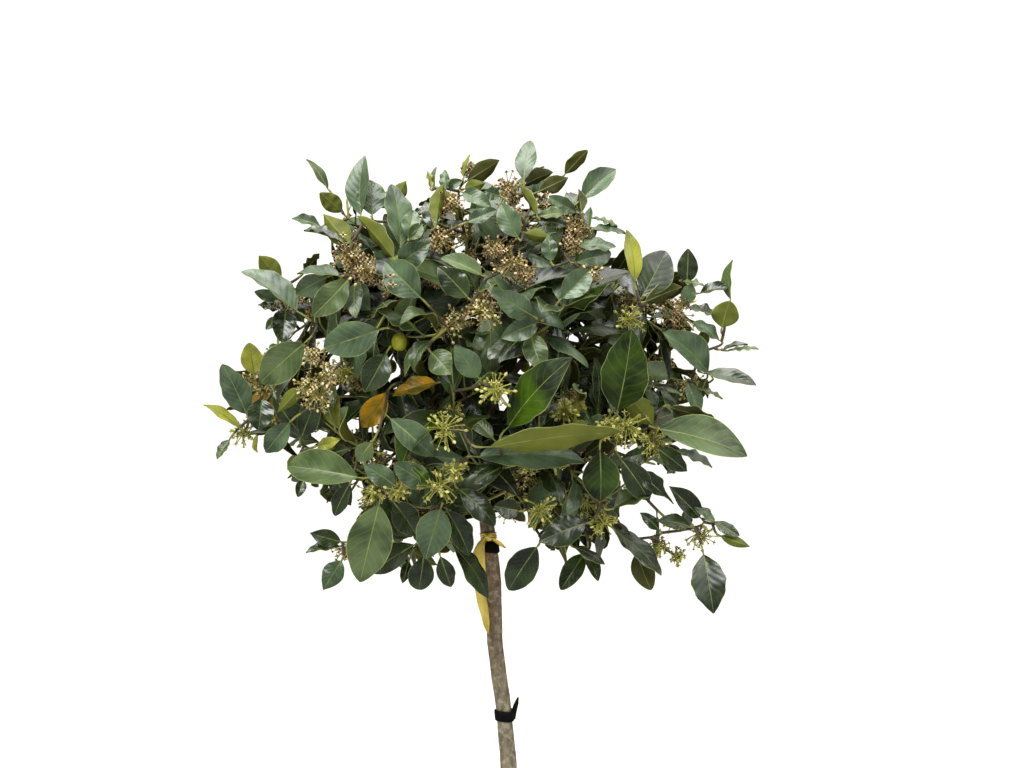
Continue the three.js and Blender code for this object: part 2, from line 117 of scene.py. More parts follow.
def cross_frame(direction: Points) -> tuple[Points, Points]:
    """Two unit vectors square to a direction and to each other."""
    side = unit(np.cross([1.0, 0.0, 0.0] if abs(direction[2]) > STEEP else UP, direction))
    return side, np.cross(side, direction)


def leaning(axis: Points, spread: float, turn: float) -> Points:
    """A unit vector that leaves an axis.

    Args:
        axis: the axis, a unit vector.
        spread: the angle to it, in degrees.
        turn: the turn round it, in degrees.

    Returns:
        The unit vector.
    """
    side, other = cross_frame(axis)
    away, round_it = math.sin(math.radians(spread)), math.radians(turn)
    ahead = axis * math.cos(math.radians(spread))
    return ahead + away * (side * math.cos(round_it) + other * math.sin(round_it))


def square_to(direction: Points, wish: Points) -> Points:
    """The unit vector nearest to a wish that is square to a direction."""
    return unit(wish - direction * float(wish @ direction))


def bend_through(foot: Points, knee: Points, end: Points, count: int) -> Points:
    """Points along the curve from foot to end that is drawn towards knee."""
    share = np.linspace(0.0, 1.0, count)[:, None]
    return foot * (1 - share) ** 2 + knee * 2 * share * (1 - share) + end * share**2


class Stream:
    """A repeatable stream of numbers from 0 to 1, the one that the solids are drawn from."""

    def __init__(self, seed: int) -> None:
        """Starts the stream at a seed."""
        self.state = seed & WORD

    def draw(self) -> float:
        """The next number."""
        self.state = (self.state + STRIDE) & WORD
        mixed = ((self.state ^ (self.state >> 15)) * (self.state | 1)) & WORD
        mixed ^= (mixed + (mixed ^ (mixed >> 7)) * (mixed | 61)) & WORD
        return (mixed ^ (mixed >> 14)) / (WORD + 1)

    def between(self, low: float, high: float) -> float:
        """The next number, spread from low to high."""
        return mix(low, high, self.draw())


class Tone(Enum):
    """The looks that leaves come in."""

    SHADE = "shade"
    DEEP = "deep"
    MID = "mid"
    # Blue-grey green leaves: part their own grey-green, part painted sheen, a pale blue-grey that stands in for the
    # sky's reflection.
    BLUE = "blue"
    BRIGHT = "bright"
    OLIVE = "olive"
    OLD = "old"


class Side(Enum):
    """Which face of a placed leaf looks at the viewer."""

    TOP = "top"
    UNDER = "under"


class Ripeness(Enum):
    """The ages that blossom shows."""

    FRESH = "fresh"
    TAN = "tan"
    BROWN = "brown"


class NodeBench:
    """Lays out the nodes of a material or a sky round its shader."""

    def __init__(self, owner: Material | bpy.types.World, shader: str = "BSDF_PRINCIPLED") -> None:
        """Turns the nodes on.

        Args:
            owner: the material or the sky.
            shader: the type of its shader.
        """
        owner.use_nodes = True
        self.tree = owner.node_tree
        self.shader = next(node for node in self.tree.nodes if node.type == shader)

    def add(self, kind: str, inputs: dict[str | int, object] | None = None, **settings: object) -> bpy.types.Node:
        """Adds a node.

        Args:
            kind: Blender's name for the node.
            inputs: a value or a socket for each input, by name or number.
            settings: the node's own settings.

        Returns:
            The node.
        """
        node = self.tree.nodes.new(kind)
        for name, value in settings.items():
            setattr(node, name, value)
        for key, value in (inputs or {}).items():
            self.feed(value, node.inputs[key])
        return node

    def feed(self, value: object, socket: Socket) -> None:
        """Sets an input to a value, or links it.

        Args:
            value: the value, or another node's socket.
            socket: the input.
        """
        if isinstance(value, Socket):
            self.tree.links.new(value, socket)
        else:
            socket.default_value = value

    def set(self, **values: object) -> None:
        """Sets the shader's own sockets, named with _ for a space."""
        for name, value in values.items():
            self.feed(value, self.shader.inputs[name.replace("_", " ")])

    def place(self) -> Socket:
        """Where a point lies on the object, in metres."""
        return self.add("ShaderNodeTexCoord").outputs["Object"]

    def apart(self, where: Socket) -> bpy.types.bpy_prop_collection:
        """The X, Y and Z of a place."""
        return self.add("ShaderNodeSeparateXYZ", {"Vector": where}).outputs

    def stretched(self, across: float, up: float) -> Socket:
        """Where a point lies, with its place scaled across and up by two numbers."""
        inputs = {"Vector": self.place(), "Scale": (across, across, up)}
        return self.add("ShaderNodeMapping", inputs).outputs["Vector"]

    def noise(self, scale: float, detail: float = 2.0, where: Socket | None = None) -> Socket:
        """Cloudy noise from 0 to 1, by clouds to the metre, finer layers and the place that it reads."""
        inputs = {"Vector": where or self.place(), "Scale": scale, "Detail": detail}
        return self.add("ShaderNodeTexNoise", inputs).outputs["Fac"]

    def cloud(self, scale: float, detail: float, low: float = 0.0, high: float = 1.0) -> Socket:
        """Cloudy noise whose clouds range from low to high."""
        return self.between(self.noise(scale, detail), *CLOUDS, low, high)

    def spots(self, scale: float, where: Socket | None = None) -> Socket:
        """The distance to the nearest of many scattered spots."""
        inputs = {"Vector": where or self.place(), "Scale": scale}
        return self.add("ShaderNodeTexVoronoi", inputs).outputs["Distance"]

    def sum(self, first: object, second: object, operation: str = "ADD") -> Socket:
        """Two values or sockets added up, or joined by another operation."""
        return self.add("ShaderNodeMath", {0: first, 1: second}, operation=operation).outputs[0]

    def times(self, first: object, second: object) -> Socket:
        """The product of two values or sockets."""
        return self.sum(first, second, "MULTIPLY")

    def wave(self, place: object, count: float, shape: str = "SINE") -> Socket:
        """A wave along a place, with a count of crests to the metre."""
        return self.sum(self.times(place, FULL_TURN * count), 0.0, shape)

    def between(self, value: object, low: float, high: float, to_low: float = 0.0, to_high: float = 1.0) -> Socket:
        """A value's range from low to high, spread from to_low to to_high and clamped."""
        inputs = {"Value": value, "From Min": low, "From Max": high, "To Min": to_low, "To Max": to_high}
        return self.add("ShaderNodeMapRange", inputs).outputs["Result"]

    def blend(self, share: object, low: object, high: object) -> Socket:
        """The colour that lies a share of the way from low to high."""
        return self.add("ShaderNodeMix", {0: share, 6: low, 7: high}, data_type="RGBA").outputs[2]

    def paleness(self) -> Socket:
        """How pale the mesh says that its surface is."""
        return self.add("ShaderNodeAttribute", attribute_name=Sheaf.PALENESS).outputs["Fac"]

    def relief(self, height: object, strength: float, depth: float) -> None:
        """Gives the surface a fine relief from a height, at a strength, over a depth in metres."""
        inputs = {"Height": height, "Strength": strength, "Distance": depth}
        self.set(Normal=self.add("ShaderNodeBump", inputs).outputs["Normal"])


@dataclass(frozen=True)
class Finish:
    """The look of a surface, which each kind of finish works out from a dark and a pale colour."""

    name: str
    dark: Colour
    pale: Colour

    def work(self, bench: NodeBench) -> None:
        """Lays out the look, here for the plain pale floor.

        Args:
            bench: the material's bench.
        """
        colour = bench.blend(bench.noise(1.5, 2), self.dark, self.pale)
        bench.set(Base_Color=colour, Roughness=0.9, Specular_IOR_Level=0.1)

    def material(self) -> Material:
        """The finish as a material."""
        material = bpy.data.materials.new(self.name)
        self.work(NodeBench(material))
        return material


@dataclass(frozen=True)
class BladeFinish(Finish):
    """The upper face of a leaf: two greens, paler veins that run from the rib to the edge, and a gloss."""

    vein: Colour
    roughness: float = 0.3
    shine: float = 0.5
    wax: float = 0.15
    veins: float = 8.0  # on each side of the rib
    vein_slant: float = 2.1  # how far a vein climbs from the rib to the edge, in veins
    vein_crest: float = 0.9  # above this share of the wave, the vein's own colour shows
    vein_share: float = 0.24  # how much of it shows
    vein_sink: float = -0.09
    quilting: float = 0.4
    quilt_depth: float = 0.0016
    quilt_swell: float = 2.1

    def work(self, bench: NodeBench) -> None:
        """Lays out the veins, the clouds of green and the quilted relief.

        Args:
            bench: the material's bench.
        """
        split = bench.apart(bench.add("ShaderNodeUVMap", uv_map=Sheaf.FLAT_MAP).outputs["UV"])
        out = bench.sum(bench.sum(split["Y"], 0.5, "SUBTRACT"), 0.0, "ABSOLUTE")
        along = bench.sum(split["X"], bench.cloud(42, 2, -0.03, 0.03))
        climb = bench.sum(along, bench.times(out, 2 * self.vein_slant / self.veins), "SUBTRACT")
        wave = bench.wave(climb, self.veins, "COSINE")
        shade = bench.between(bench.noise(38, 4), 0.34, 0.7, -0.58, 0.5)
        green = bench.blend(bench.sum(bench.paleness(), shade), self.dark, self.pale)
        on_vein = bench.between(wave, self.vein_crest, 1.0, 0.0, self.vein_share)
        bench.set(Base_Color=bench.blend(on_vein, green, self.vein))
        bench.set(Roughness=bench.cloud(60, 2, self.roughness - 0.06, self.roughness + 0.1))
        bench.set(Specular_IOR_Level=self.shine, Coat_Weight=self.wax, Coat_Roughness=0.2)
        height = bench.sum(bench.times(wave, self.vein_sink), bench.times(bench.noise(64, 1), self.quilt_swell))
        bench.relief(height, self.quilting, self.quilt_depth)


@dataclass(frozen=True)
class UndersideFinish(Finish):
    """The lower face of a leaf: matt, olive, with a net of raised veins."""

    roughness: float = 0.62
    meshes: float = 420.0  # of the net, to the metre

    def work(self, bench: NodeBench) -> None:
        """Lays out the clouds of olive and the net of veins.

        Args:
            bench: the material's bench.
        """
        olive = bench.blend(bench.sum(bench.paleness(), bench.cloud(45, 3, -0.25, 0.25)), self.dark, self.pale)
        net = bench.between(bench.spots(self.meshes), 0.0, 0.12, 0.3, 0.0)
        bench.set(Base_Color=bench.blend(net, olive, self.pale), Roughness=self.roughness, Specular_IOR_Level=0.3)
        bench.relief(bench.noise(330, 3), 0.25, 0.0008)


@dataclass(frozen=True)
class StalkFinish(Finish):
    """A small fleshy part: a leaf's rib, edge or stalk, a green twig or part of a flower."""

    roughness: float = 0.5
    scale: float = 90.0  # clouds to the metre

    def work(self, bench: NodeBench) -> None:
        """Lays out the clouds of colour and a fine grain.

        Args:
            bench: the material's bench.
        """
        share = bench.sum(bench.paleness(), bench.cloud(self.scale, 3, -0.4, 0.4))
        colour = bench.blend(share, self.dark, self.pale)
        bench.set(Base_Color=colour, Roughness=self.roughness, Specular_IOR_Level=0.3)
        bench.relief(bench.noise(700, 2), 0.2, 0.0005)


@dataclass(frozen=True)
class BarkFinish(Finish):
    """Smooth young bark, dark near the crown: pale crusts, dark blotches and rows of raised pores."""

    crust: Colour
    blotch: Colour
    pore: Colour
    pale_to: float = 0.58  # the height up to which the bark is pale
    dark_from: float = 0.74
    crusts: float = 0.4
    blotches: float = 0.62
    depth: float = 0.0011

    def work(self, bench: NodeBench) -> None:
        """Lays out the ground, the blotches, the crusts, the pores and their relief.

        Args:
            bench: the material's bench.
        """
        height = bench.between(bench.apart(bench.place())["Z"], self.pale_to, self.dark_from)
        ground = bench.blend(bench.sum(height, bench.cloud(28, 3, -0.3, 0.3)), self.pale, self.dark)
        streak = bench.between(bench.noise(1.0, 6, bench.stretched(190, 90)), 0.36, 0.62, 0.0, self.blotches)
        blotched = bench.blend(streak, ground, self.blotch)
        crusty = bench.between(bench.noise(190, 6), 0.5, 0.68, 0.0, self.crusts)
        crusted = bench.blend(crusty, blotched, self.crust)
        pore = bench.between(bench.spots(1.0, bench.stretched(230, 520)), 0.0, 0.2, 0.85, 0.0)
        bench.set(Base_Color=bench.blend(pore, crusted, self.pore))
        bench.set(Roughness=bench.between(crusty, 0.0, 1.0, 0.72, 0.9))
        grain = bench.sum(bench.noise(1.0, 5, bench.stretched(420, 120)), bench.times(pore, 1.3))
        bench.relief(bench.sum(grain, bench.times(crusty, 0.7)), 0.75, self.depth)


@dataclass(frozen=True)
class StrapFinish(Finish):
    """Black rubber with a dull bloom and fine ribs along the strap."""

    ribs: float = 900.0  # to the metre

    def work(self, bench: NodeBench) -> None:
        """Lays out the bloom and the ribs.

        Args:
            bench: the material's bench.
        """
        dust = bench.between(bench.noise(160, 5), 0.5, 0.8, 0.0, 0.3)
        bench.set(Base_Color=bench.blend(dust, self.dark, self.pale), Specular_IOR_Level=0.2)
        bench.set(Roughness=bench.between(dust, 0.0, 0.5, 0.5, 0.8))
        rib = bench.wave(bench.apart(bench.place())["Z"], self.ribs)
        bench.relief(bench.sum(rib, bench.noise(900, 2)), 0.25, 0.0005)


@dataclass(frozen=True)
class RibbonFinish(Finish):
    """Thin yellow woven ribbon: a soft sheen, creases and a faint weave."""

    threads: float = 1500.0  # to the metre
    crease_height: float = 3.0

    def work(self, bench: NodeBench) -> None:
        """Lays out the clouds of yellow, the creases and the weave.

        Args:
            bench: the material's bench.
        """
        bench.set(Base_Color=bench.blend(bench.cloud(70, 4), self.dark, self.pale), Roughness=0.5)
        bench.set(Sheen_Weight=0.15, Sheen_Roughness=0.4)
        apart = bench.apart(bench.place())
        weave = bench.times(*(bench.wave(apart[axis], self.threads) for axis in "XZ"))
        bench.relief(bench.sum(bench.times(bench.noise(110, 3), self.crease_height), weave), 0.3, 0.0007)


class Sheaf:
    """Gathers the surfaces of one joined piece and makes its mesh."""

    FLAT_MAP = "along_and_across"
    PALENESS = "paleness"

    def __init__(self, name: str) -> None:
        """Starts an empty piece of a name."""
        self.name = name
        self.points: list[Points] = []
        self.quads: list[Points] = []
        self.slots: list[Points] = []
        self.flats: list[Points] = []
        self.paleness: list[Points] = []
        self.count = 0

    def add(
        self, grids: Points, slots: int | list[int] = 0, paleness: float | Points = 0.5,
        closed: bool = False, turned: bool = False, flat: Points | None = None,
    ) -> None:  # fmt: skip
        """Adds surfaces that are each a grid of points.

        Args:
            grids: the points, numbered by surface, row and column.
            slots: the finish of all faces, or of each column of faces.
            paleness: how pale each surface is, from 0 to 1.
            closed: whether the last column meets the first.
            turned: whether the faces look the other way.
            flat: each point's place along and across its surface.
        """
        surfaces, rows, columns = grids.shape[:3]
        across = columns if closed else columns - 1
        row, column = np.meshgrid(np.arange(rows - 1), np.arange(across), indexing="ij")
        near, far = row * columns, (row + 1) * columns
        ahead = (column + 1) % columns
        quad = np.stack([near + column, far + column, far + ahead, near + ahead], -1)
        quad = quad.reshape(-1, 4)[:, [0, 3, 2, 1] if turned else [0, 1, 2, 3]]
        base = self.count + np.arange(surfaces) * rows * columns
        self.quads.append((base[:, None, None] + quad).reshape(-1, 4))
        self.slots.append(np.tile(np.broadcast_to(np.asarray(slots), (across,)), (rows - 1) * surfaces))
        self.points.append(grids.reshape(-1, 3))
        if flat is None:
            share = np.meshgrid(np.linspace(0, 1, rows), np.linspace(0, 1, columns), indexing="ij")
            flat = np.broadcast_to(np.stack(share, -1), (surfaces, rows, columns, 2))
        self.flats.append(flat.reshape(-1, 2))
        pale = np.broadcast_to(np.asarray(paleness, float), (surfaces,))
        self.paleness.append(np.repeat(pale, rows * columns))
        self.count += surfaces * rows * columns

    def build(self, finishes: list[Finish], slot: str, replaced: list[str]) -> None:
        """Makes the piece, in place of solids, riding on the plant.

        Args:
            finishes: the finishes, in the order of the slots.
            slot: the record's material slot; not used.
            replaced: the solids that the piece stands for.
        """
        points, quads = np.concatenate(self.points), np.concatenate(self.quads)
        mesh = bpy.data.meshes.new(self.name)
        mesh.vertices.add(len(points))
        mesh.vertices.foreach_set("co", points.astype(np.float32).ravel())
        mesh.loops.add(quads.size)
        mesh.loops.foreach_set("vertex_index", quads.astype(np.int32).ravel())
        mesh.polygons.add(len(quads))
        mesh.polygons.foreach_set("loop_start", np.arange(0, quads.size, 4, dtype=np.int32))
        mesh.polygons.foreach_set("material_index", np.concatenate(self.slots).astype(np.int32))
        mesh.polygons.foreach_set("use_smooth", np.ones(len(quads), bool))
        mesh.update(calc_edges=True)
        flat = mesh.uv_layers.new(name=self.FLAT_MAP)
        flat.data.foreach_set("uv", np.concatenate(self.flats)[quads.ravel()].astype(np.float32).ravel())
        pale = mesh.attributes.new(self.PALENESS, "FLOAT", "POINT")
        pale.data.foreach_set("value", np.concatenate(self.paleness).astype(np.float32))
        for finish in finishes:
            mesh.materials.append(finish.material())
        piece = bpy.data.objects.new(self.name, mesh)
        bpy.context.scene.collection.objects.link(piece)
        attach(piece, BODY)
        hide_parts(*replaced)
        GROWS.info("%s: %d triangles", self.name, 2 * len(quads))


def tube(path: Points, radii: Points, sides: int) -> Points:
    """A tube's points, one ring for each point of its path.

    Args:
        path: the points that the tube's middle follows.
        radii: the radius at each of them.
        sides: the number of points in a ring.

    Returns:
        The points by ring and place in the ring.
    """
    ahead = np.gradient(path, axis=0)
    ahead /= np.linalg.norm(ahead, axis=1, keepdims=True)
    side = cross_frame(ahead[0])[0]
    turn, rings = circle(sides)[:, None], []
    for centre, direction, radius in zip(path, ahead, radii):
        side = square_to(direction, side)
        rings.append(centre + radius * (side * np.cos(turn) + np.cross(side, direction) * np.sin(turn)))
    return np.array(rings)


@dataclass(frozen=True)
class Relief:
    """Uneven wood: lumps of several sizes that close on themselves round a limb."""

    seed: int
    layers: tuple[tuple[float, int, float], ...]  # a lump's height, lumps round the limb, depth

    def at(self, along: Points, turn: Points) -> Points:
        """How far the surface stands out.

        Args:
            along: places along the limb.
            turn: places round it, in radians.

        Returns:
            The height of the relief at each place.
        """
        made = np.zeros(np.broadcast(along, turn).shape)
        for number, (size, round_it, depth) in enumerate(self.layers):
            lumps = np.random.default_rng(self.seed + number).random((int(along.max() / size) + 3, round_it))
            row, column = along / size, (turn / FULL_TURN % 1) * round_it
            low, left = np.floor(row).astype(int), np.floor(column).astype(int)
            up, right = (share * share * (3 - 2 * share) for share in (row - low, column - left))
            corner = [lumps[low + a, (left + b) % round_it] for a in (0, 1) for b in (0, 1)]
            below = corner[0] * (1 - right) + corner[1] * right
            above = corner[2] * (1 - right) + corner[3] * right
            made += depth * (2 * (below * (1 - up) + above * up) - 1)
        return made


@dataclass
class Stem:
    """The clear stem: it leans to the left, waves below the crown and flares at its root."""

    top: float = 0.936
    lean_foot: float = 0.034  # sideways run for each unit of height
    lean_head: float = 0.08
    wave: float = 0.0019
    wave_length: float = 0.160
    wave_from: float = 0.585
    radius_foot: float = 0.0105
    radius_head: float = 0.0076
    radius_tip: float = 0.0046
    head: float = 0.800
    flare: float = 0.008
    flare_height: float = 0.022
    lobes: int = 5
    lobe_share: float = 0.28
    sides: int = 40
    rings: int = 440
    ring_crowding: float = 1.25  # above 1, rings lie closer near the ground
    tip_share: float = 0.35  # of the full radius, at the very top
    tip_height: float = 0.004
    relief: Relief = Relief(5, ((0.055, 3, 0.0006), (0.019, 6, 0.00036), (0.006, 12, 0.00016), (0.0022, 24, 0.00008)))
    # Healed scars of cut side shoots: height, turn round the stem in degrees, radius and how far they stand out.
    scars: Rows = (
        (0.742, 250, 0.006, 0.0013), (0.703, 300, 0.005, 0.0010), (0.668, 215, 0.006, 0.0014),
        (0.640, 275, 0.005, 0.0011), (0.611, 325, 0.006, 0.0012), (0.545, 240, 0.006, 0.0012),
        (0.470, 40, 0.007, 0.0013), (0.380, 290, 0.006, 0.0011), (0.290, 130, 0.007, 0.0014),
        (0.190, 260, 0.007, 0.0013), (0.110, 350, 0.006, 0.0011),
    )  # fmt: skip
    scar_rim: float = 2.2  # how fast a scar's mound falls off
    scar_eye: float = 14.0  # and the dent in its middle
    scar_dent: float = 0.55

    def axis(self, height: float | Points) -> Points:
        """The middle of the stem at a height, or at each of several.

        Args:
            height: the height or heights.

        Returns:
            The middle at each height.
        """
        height = np.asarray(height, float)
        low = np.minimum(height, self.wave_from)
        high = height - low
        lean = self.lean_foot * low + (self.lean_head - self.lean_foot) * low**2 / (2 * self.wave_from)
        wave = self.wave * (np.cos(FULL_TURN * high / self.wave_length) - 1)
        return np.stack([wave - lean - self.lean_head * high, np.zeros_like(height), height], -1)

    def radius(self, height: float | Points, turn: float | Points = 0.0) -> Points:
        """The stem's radius.

        Args:
            height: the height or heights.
            turn: the turn round the stem, in radians.

        Returns:
            The radius at each height and turn.
        """
        height = np.asarray(height, float)
        below = mix(self.radius_foot, self.radius_head, height / self.head)
        above = mix(self.radius_head, self.radius_tip, (height - self.head) / (self.top - self.head))
        flare = self.flare * np.exp(-height / self.flare_height)
        lobed = 1 + self.lobe_share * np.cos(self.lobes * np.asarray(turn))
        return np.where(height < self.head, below, above) + flare * lobed

    def stand_out(self, level: Points, around: Points, out: Points) -> Points:
        """Points round the stem, by height, turn in radians and distance from its middle."""
        return self.axis(level) + np.stack([out * np.cos(around), out * np.sin(around), 0 * level], -1)

    def surface(self) -> Points:
        """The points of the bark.

        Returns:
            The points by ring and turn, with both ends closed.
        """
        heights = self.top * np.linspace(0, 1, self.rings) ** self.ring_crowding
        level, around = np.meshgrid(heights, circle(self.sides), indexing="ij")
        out = self.radius(level, around) + self.relief.at(level, around)
        for height, degrees, size, stand in self.scars:
            aside = (around - math.radians(degrees) + math.pi) % FULL_TURN - math.pi
            away = np.hypot(level - height, aside * self.radius(level)) / size
            dent = 1 - self.scar_dent * np.exp(-(away**2) * self.scar_eye)
            out += stand * np.exp(-(away**2) * self.scar_rim) * dent
        out *= np.minimum(1.0, self.tip_share + (self.top - level) / self.tip_height)
        ring = self.stand_out(level, around, out)
        foot = np.array([self.axis(0.0) * (1 - share) + ring[0] * share for share in (0.02, 0.5)])
        tip = self.axis(self.top) * 0.97 + ring[-1] * 0.03 + UP * 0.0002
        return np.concatenate([foot, ring, tip[None]])

    def front(self, low: float, high: float) -> Points:
        """Points of the side that faces the viewer, between two heights."""
        level, around = np.meshgrid(np.arange(low, high, 0.003), np.linspace(math.pi, FULL_TURN, 9))
        return self.stand_out(level, around, self.radius(level)).reshape(-1, 3)

    def build(self, finish: BarkFinish) -> None:
        """Makes the stem's bark, in place of the solid stem.

        Args:
            finish: its finish.
        """
        sheaf = Sheaf("stem_bark")
        sheaf.add(self.surface()[None], closed=True, turned=True)
        sheaf.build([finish], "bark", ["stem"])


@dataclass
class Crown:
    """How far the crown reaches from its middle, and the directions of its masses."""

    # In the plane across the view, every 20 degrees anticlockwise from +X.
    reach: tuple[float, ...] = (
        0.243, 0.252, 0.196, 0.212, 0.222, 0.210, 0.220, 0.226, 0.240,
        0.268, 0.258, 0.222, 0.246, 0.227, 0.218, 0.236, 0.240, 0.240,
    )  # fmt: skip
    depth: float = 0.236
    leaf_reach: float = 0.006  # how far a leaf's tip may pass the reach

    def __post_init__(self) -> None:
        """Works out the direction of each mass from the crown's middle."""
        self.axes = np.array([heading(azimuth, elevation) for _, azimuth, elevation in MASSES])

    def reach_in(self, direction: Points) -> float:
        """How far leaf tips reach from the crown's middle.

        Args:
            direction: the direction, a unit vector.

        Returns:
            The reach.
        """
        turn = (math.degrees(math.atan2(direction[2], direction[0])) + 360) % 360
        place = turn / 360 * len(self.reach)
        low = int(place) % len(self.reach)
        across = mix(self.reach[low], self.reach[(low + 1) % len(self.reach)], place - math.floor(place))
        return mix(across, self.depth, direction[1] ** 2)


@dataclass
class Shoot:
    """A twig that bears leaves: the points of its middle, its thickness and what it carries."""

    path: Points
    foot_radius: float
    tip_radius: float
    turn: float
    leaves: int
    blooms: int
    inner: bool
    tone: Tone
    green_from: float = 0.6  # share of its length where the bark turns green
    spacing: float = 0.0088  # from one leaf to the next

    def __post_init__(self) -> None:
        """Works out the twig's tip, the way that it ends, and its length up to each point."""
        self.end = self.path[-1]
        self.axis = unit(self.path[-1] - self.path[-3])
        steps = np.linalg.norm(np.diff(self.path, axis=0), axis=1)
        self.gone = np.concatenate([[0.0], np.cumsum(steps)])
        self.length = float(steps.sum())

    def back(self, distance: float) -> Points:
        """The point of the twig's middle at a distance back from its tip."""
        where = self.gone[-1] - distance
        return np.array([np.interp(where, self.gone, self.path[:, axis]) for axis in range(3)])


# The range of each feature of a leaf's form, in the order in which they are drawn.
LEAF_RANGES = {
    "width": (0.34, 0.46),  # as a share of the length
    "droop": (0.2, 0.95),
    "rise": (0.05, 0.35),
    "fold": (0.08, 0.42),
    "cup": (-2.0, 0.8),
    "twist": (-0.6, 0.6),
    "wave": (0.0004, 0.0022),
    "phase": (0.0, FULL_TURN),
    "ripples": (1.5, 3.5),
    "blunt": (0.5, 1.1),
    "widest": (0.44, 0.58),
    "sweep": (-0.08, 0.08),
    "teeth": (-0.1, 0.05),
    "stalk": (0.006, 0.010),
    "paleness": (0.05, 0.95),
}
YOUNG_WIDTH = (0.3, 0.38)
CURL = 1.2  # how much further a curled leaf bends down, in radians
CURL_RARITY = 5


@dataclass
class Leaf:
    """One leaf: where its stalk leaves the twig, how its blade lies, and its form."""

    foot: Points
    direction: Points
    face: Points
    length: float
    tone: Tone
    width: float
    droop: float  # how far the blade bends down on its way to the tip, in radians
    rise: float  # how far it starts above its direction, in radians
    fold: float  # how steeply its halves rise from the rib
    cup: float  # how much its edges curl up, or down below 0
    twist: float  # in radians, from root to tip
    wave: float
    phase: float
    ripples: float
    blunt: float  # below 1, the tip is rounder
    widest: float  # share of the length where it is widest
    sweep: float  # how far it bends sideways, as a share of its length
    teeth: float  # how far its edge goes in and out, as a share of its half width
    stalk: float
    paleness: float
    fine: bool = False  # whether its outline gets more points

    @classmethod
    def grown(cls, stream: Stream, foot: Points, direction: Points, face: Points, length: float, tone: Tone) -> Leaf:
        """A leaf with a form of its own.

        Args:
            stream: where its form is drawn from.
            foot: where its stalk leaves the twig.
            direction: the way its stalk points.
            face: the way its upper side looks.
            length: the blade's length.
            tone: its looks.

        Returns:
            The leaf.
        """
        ranges = LEAF_RANGES | ({"width": YOUNG_WIDTH} if tone is Tone.OLIVE else {})
        curl = CURL * stream.draw() ** CURL_RARITY
        form = {name: stream.between(*ends) for name, ends in ranges.items()}
        form["width"] *= length
        form["droop"] += curl
        form["teeth"] = max(0.0, form["teeth"])
        return cls(foot, direction, face, length, tone, **form)


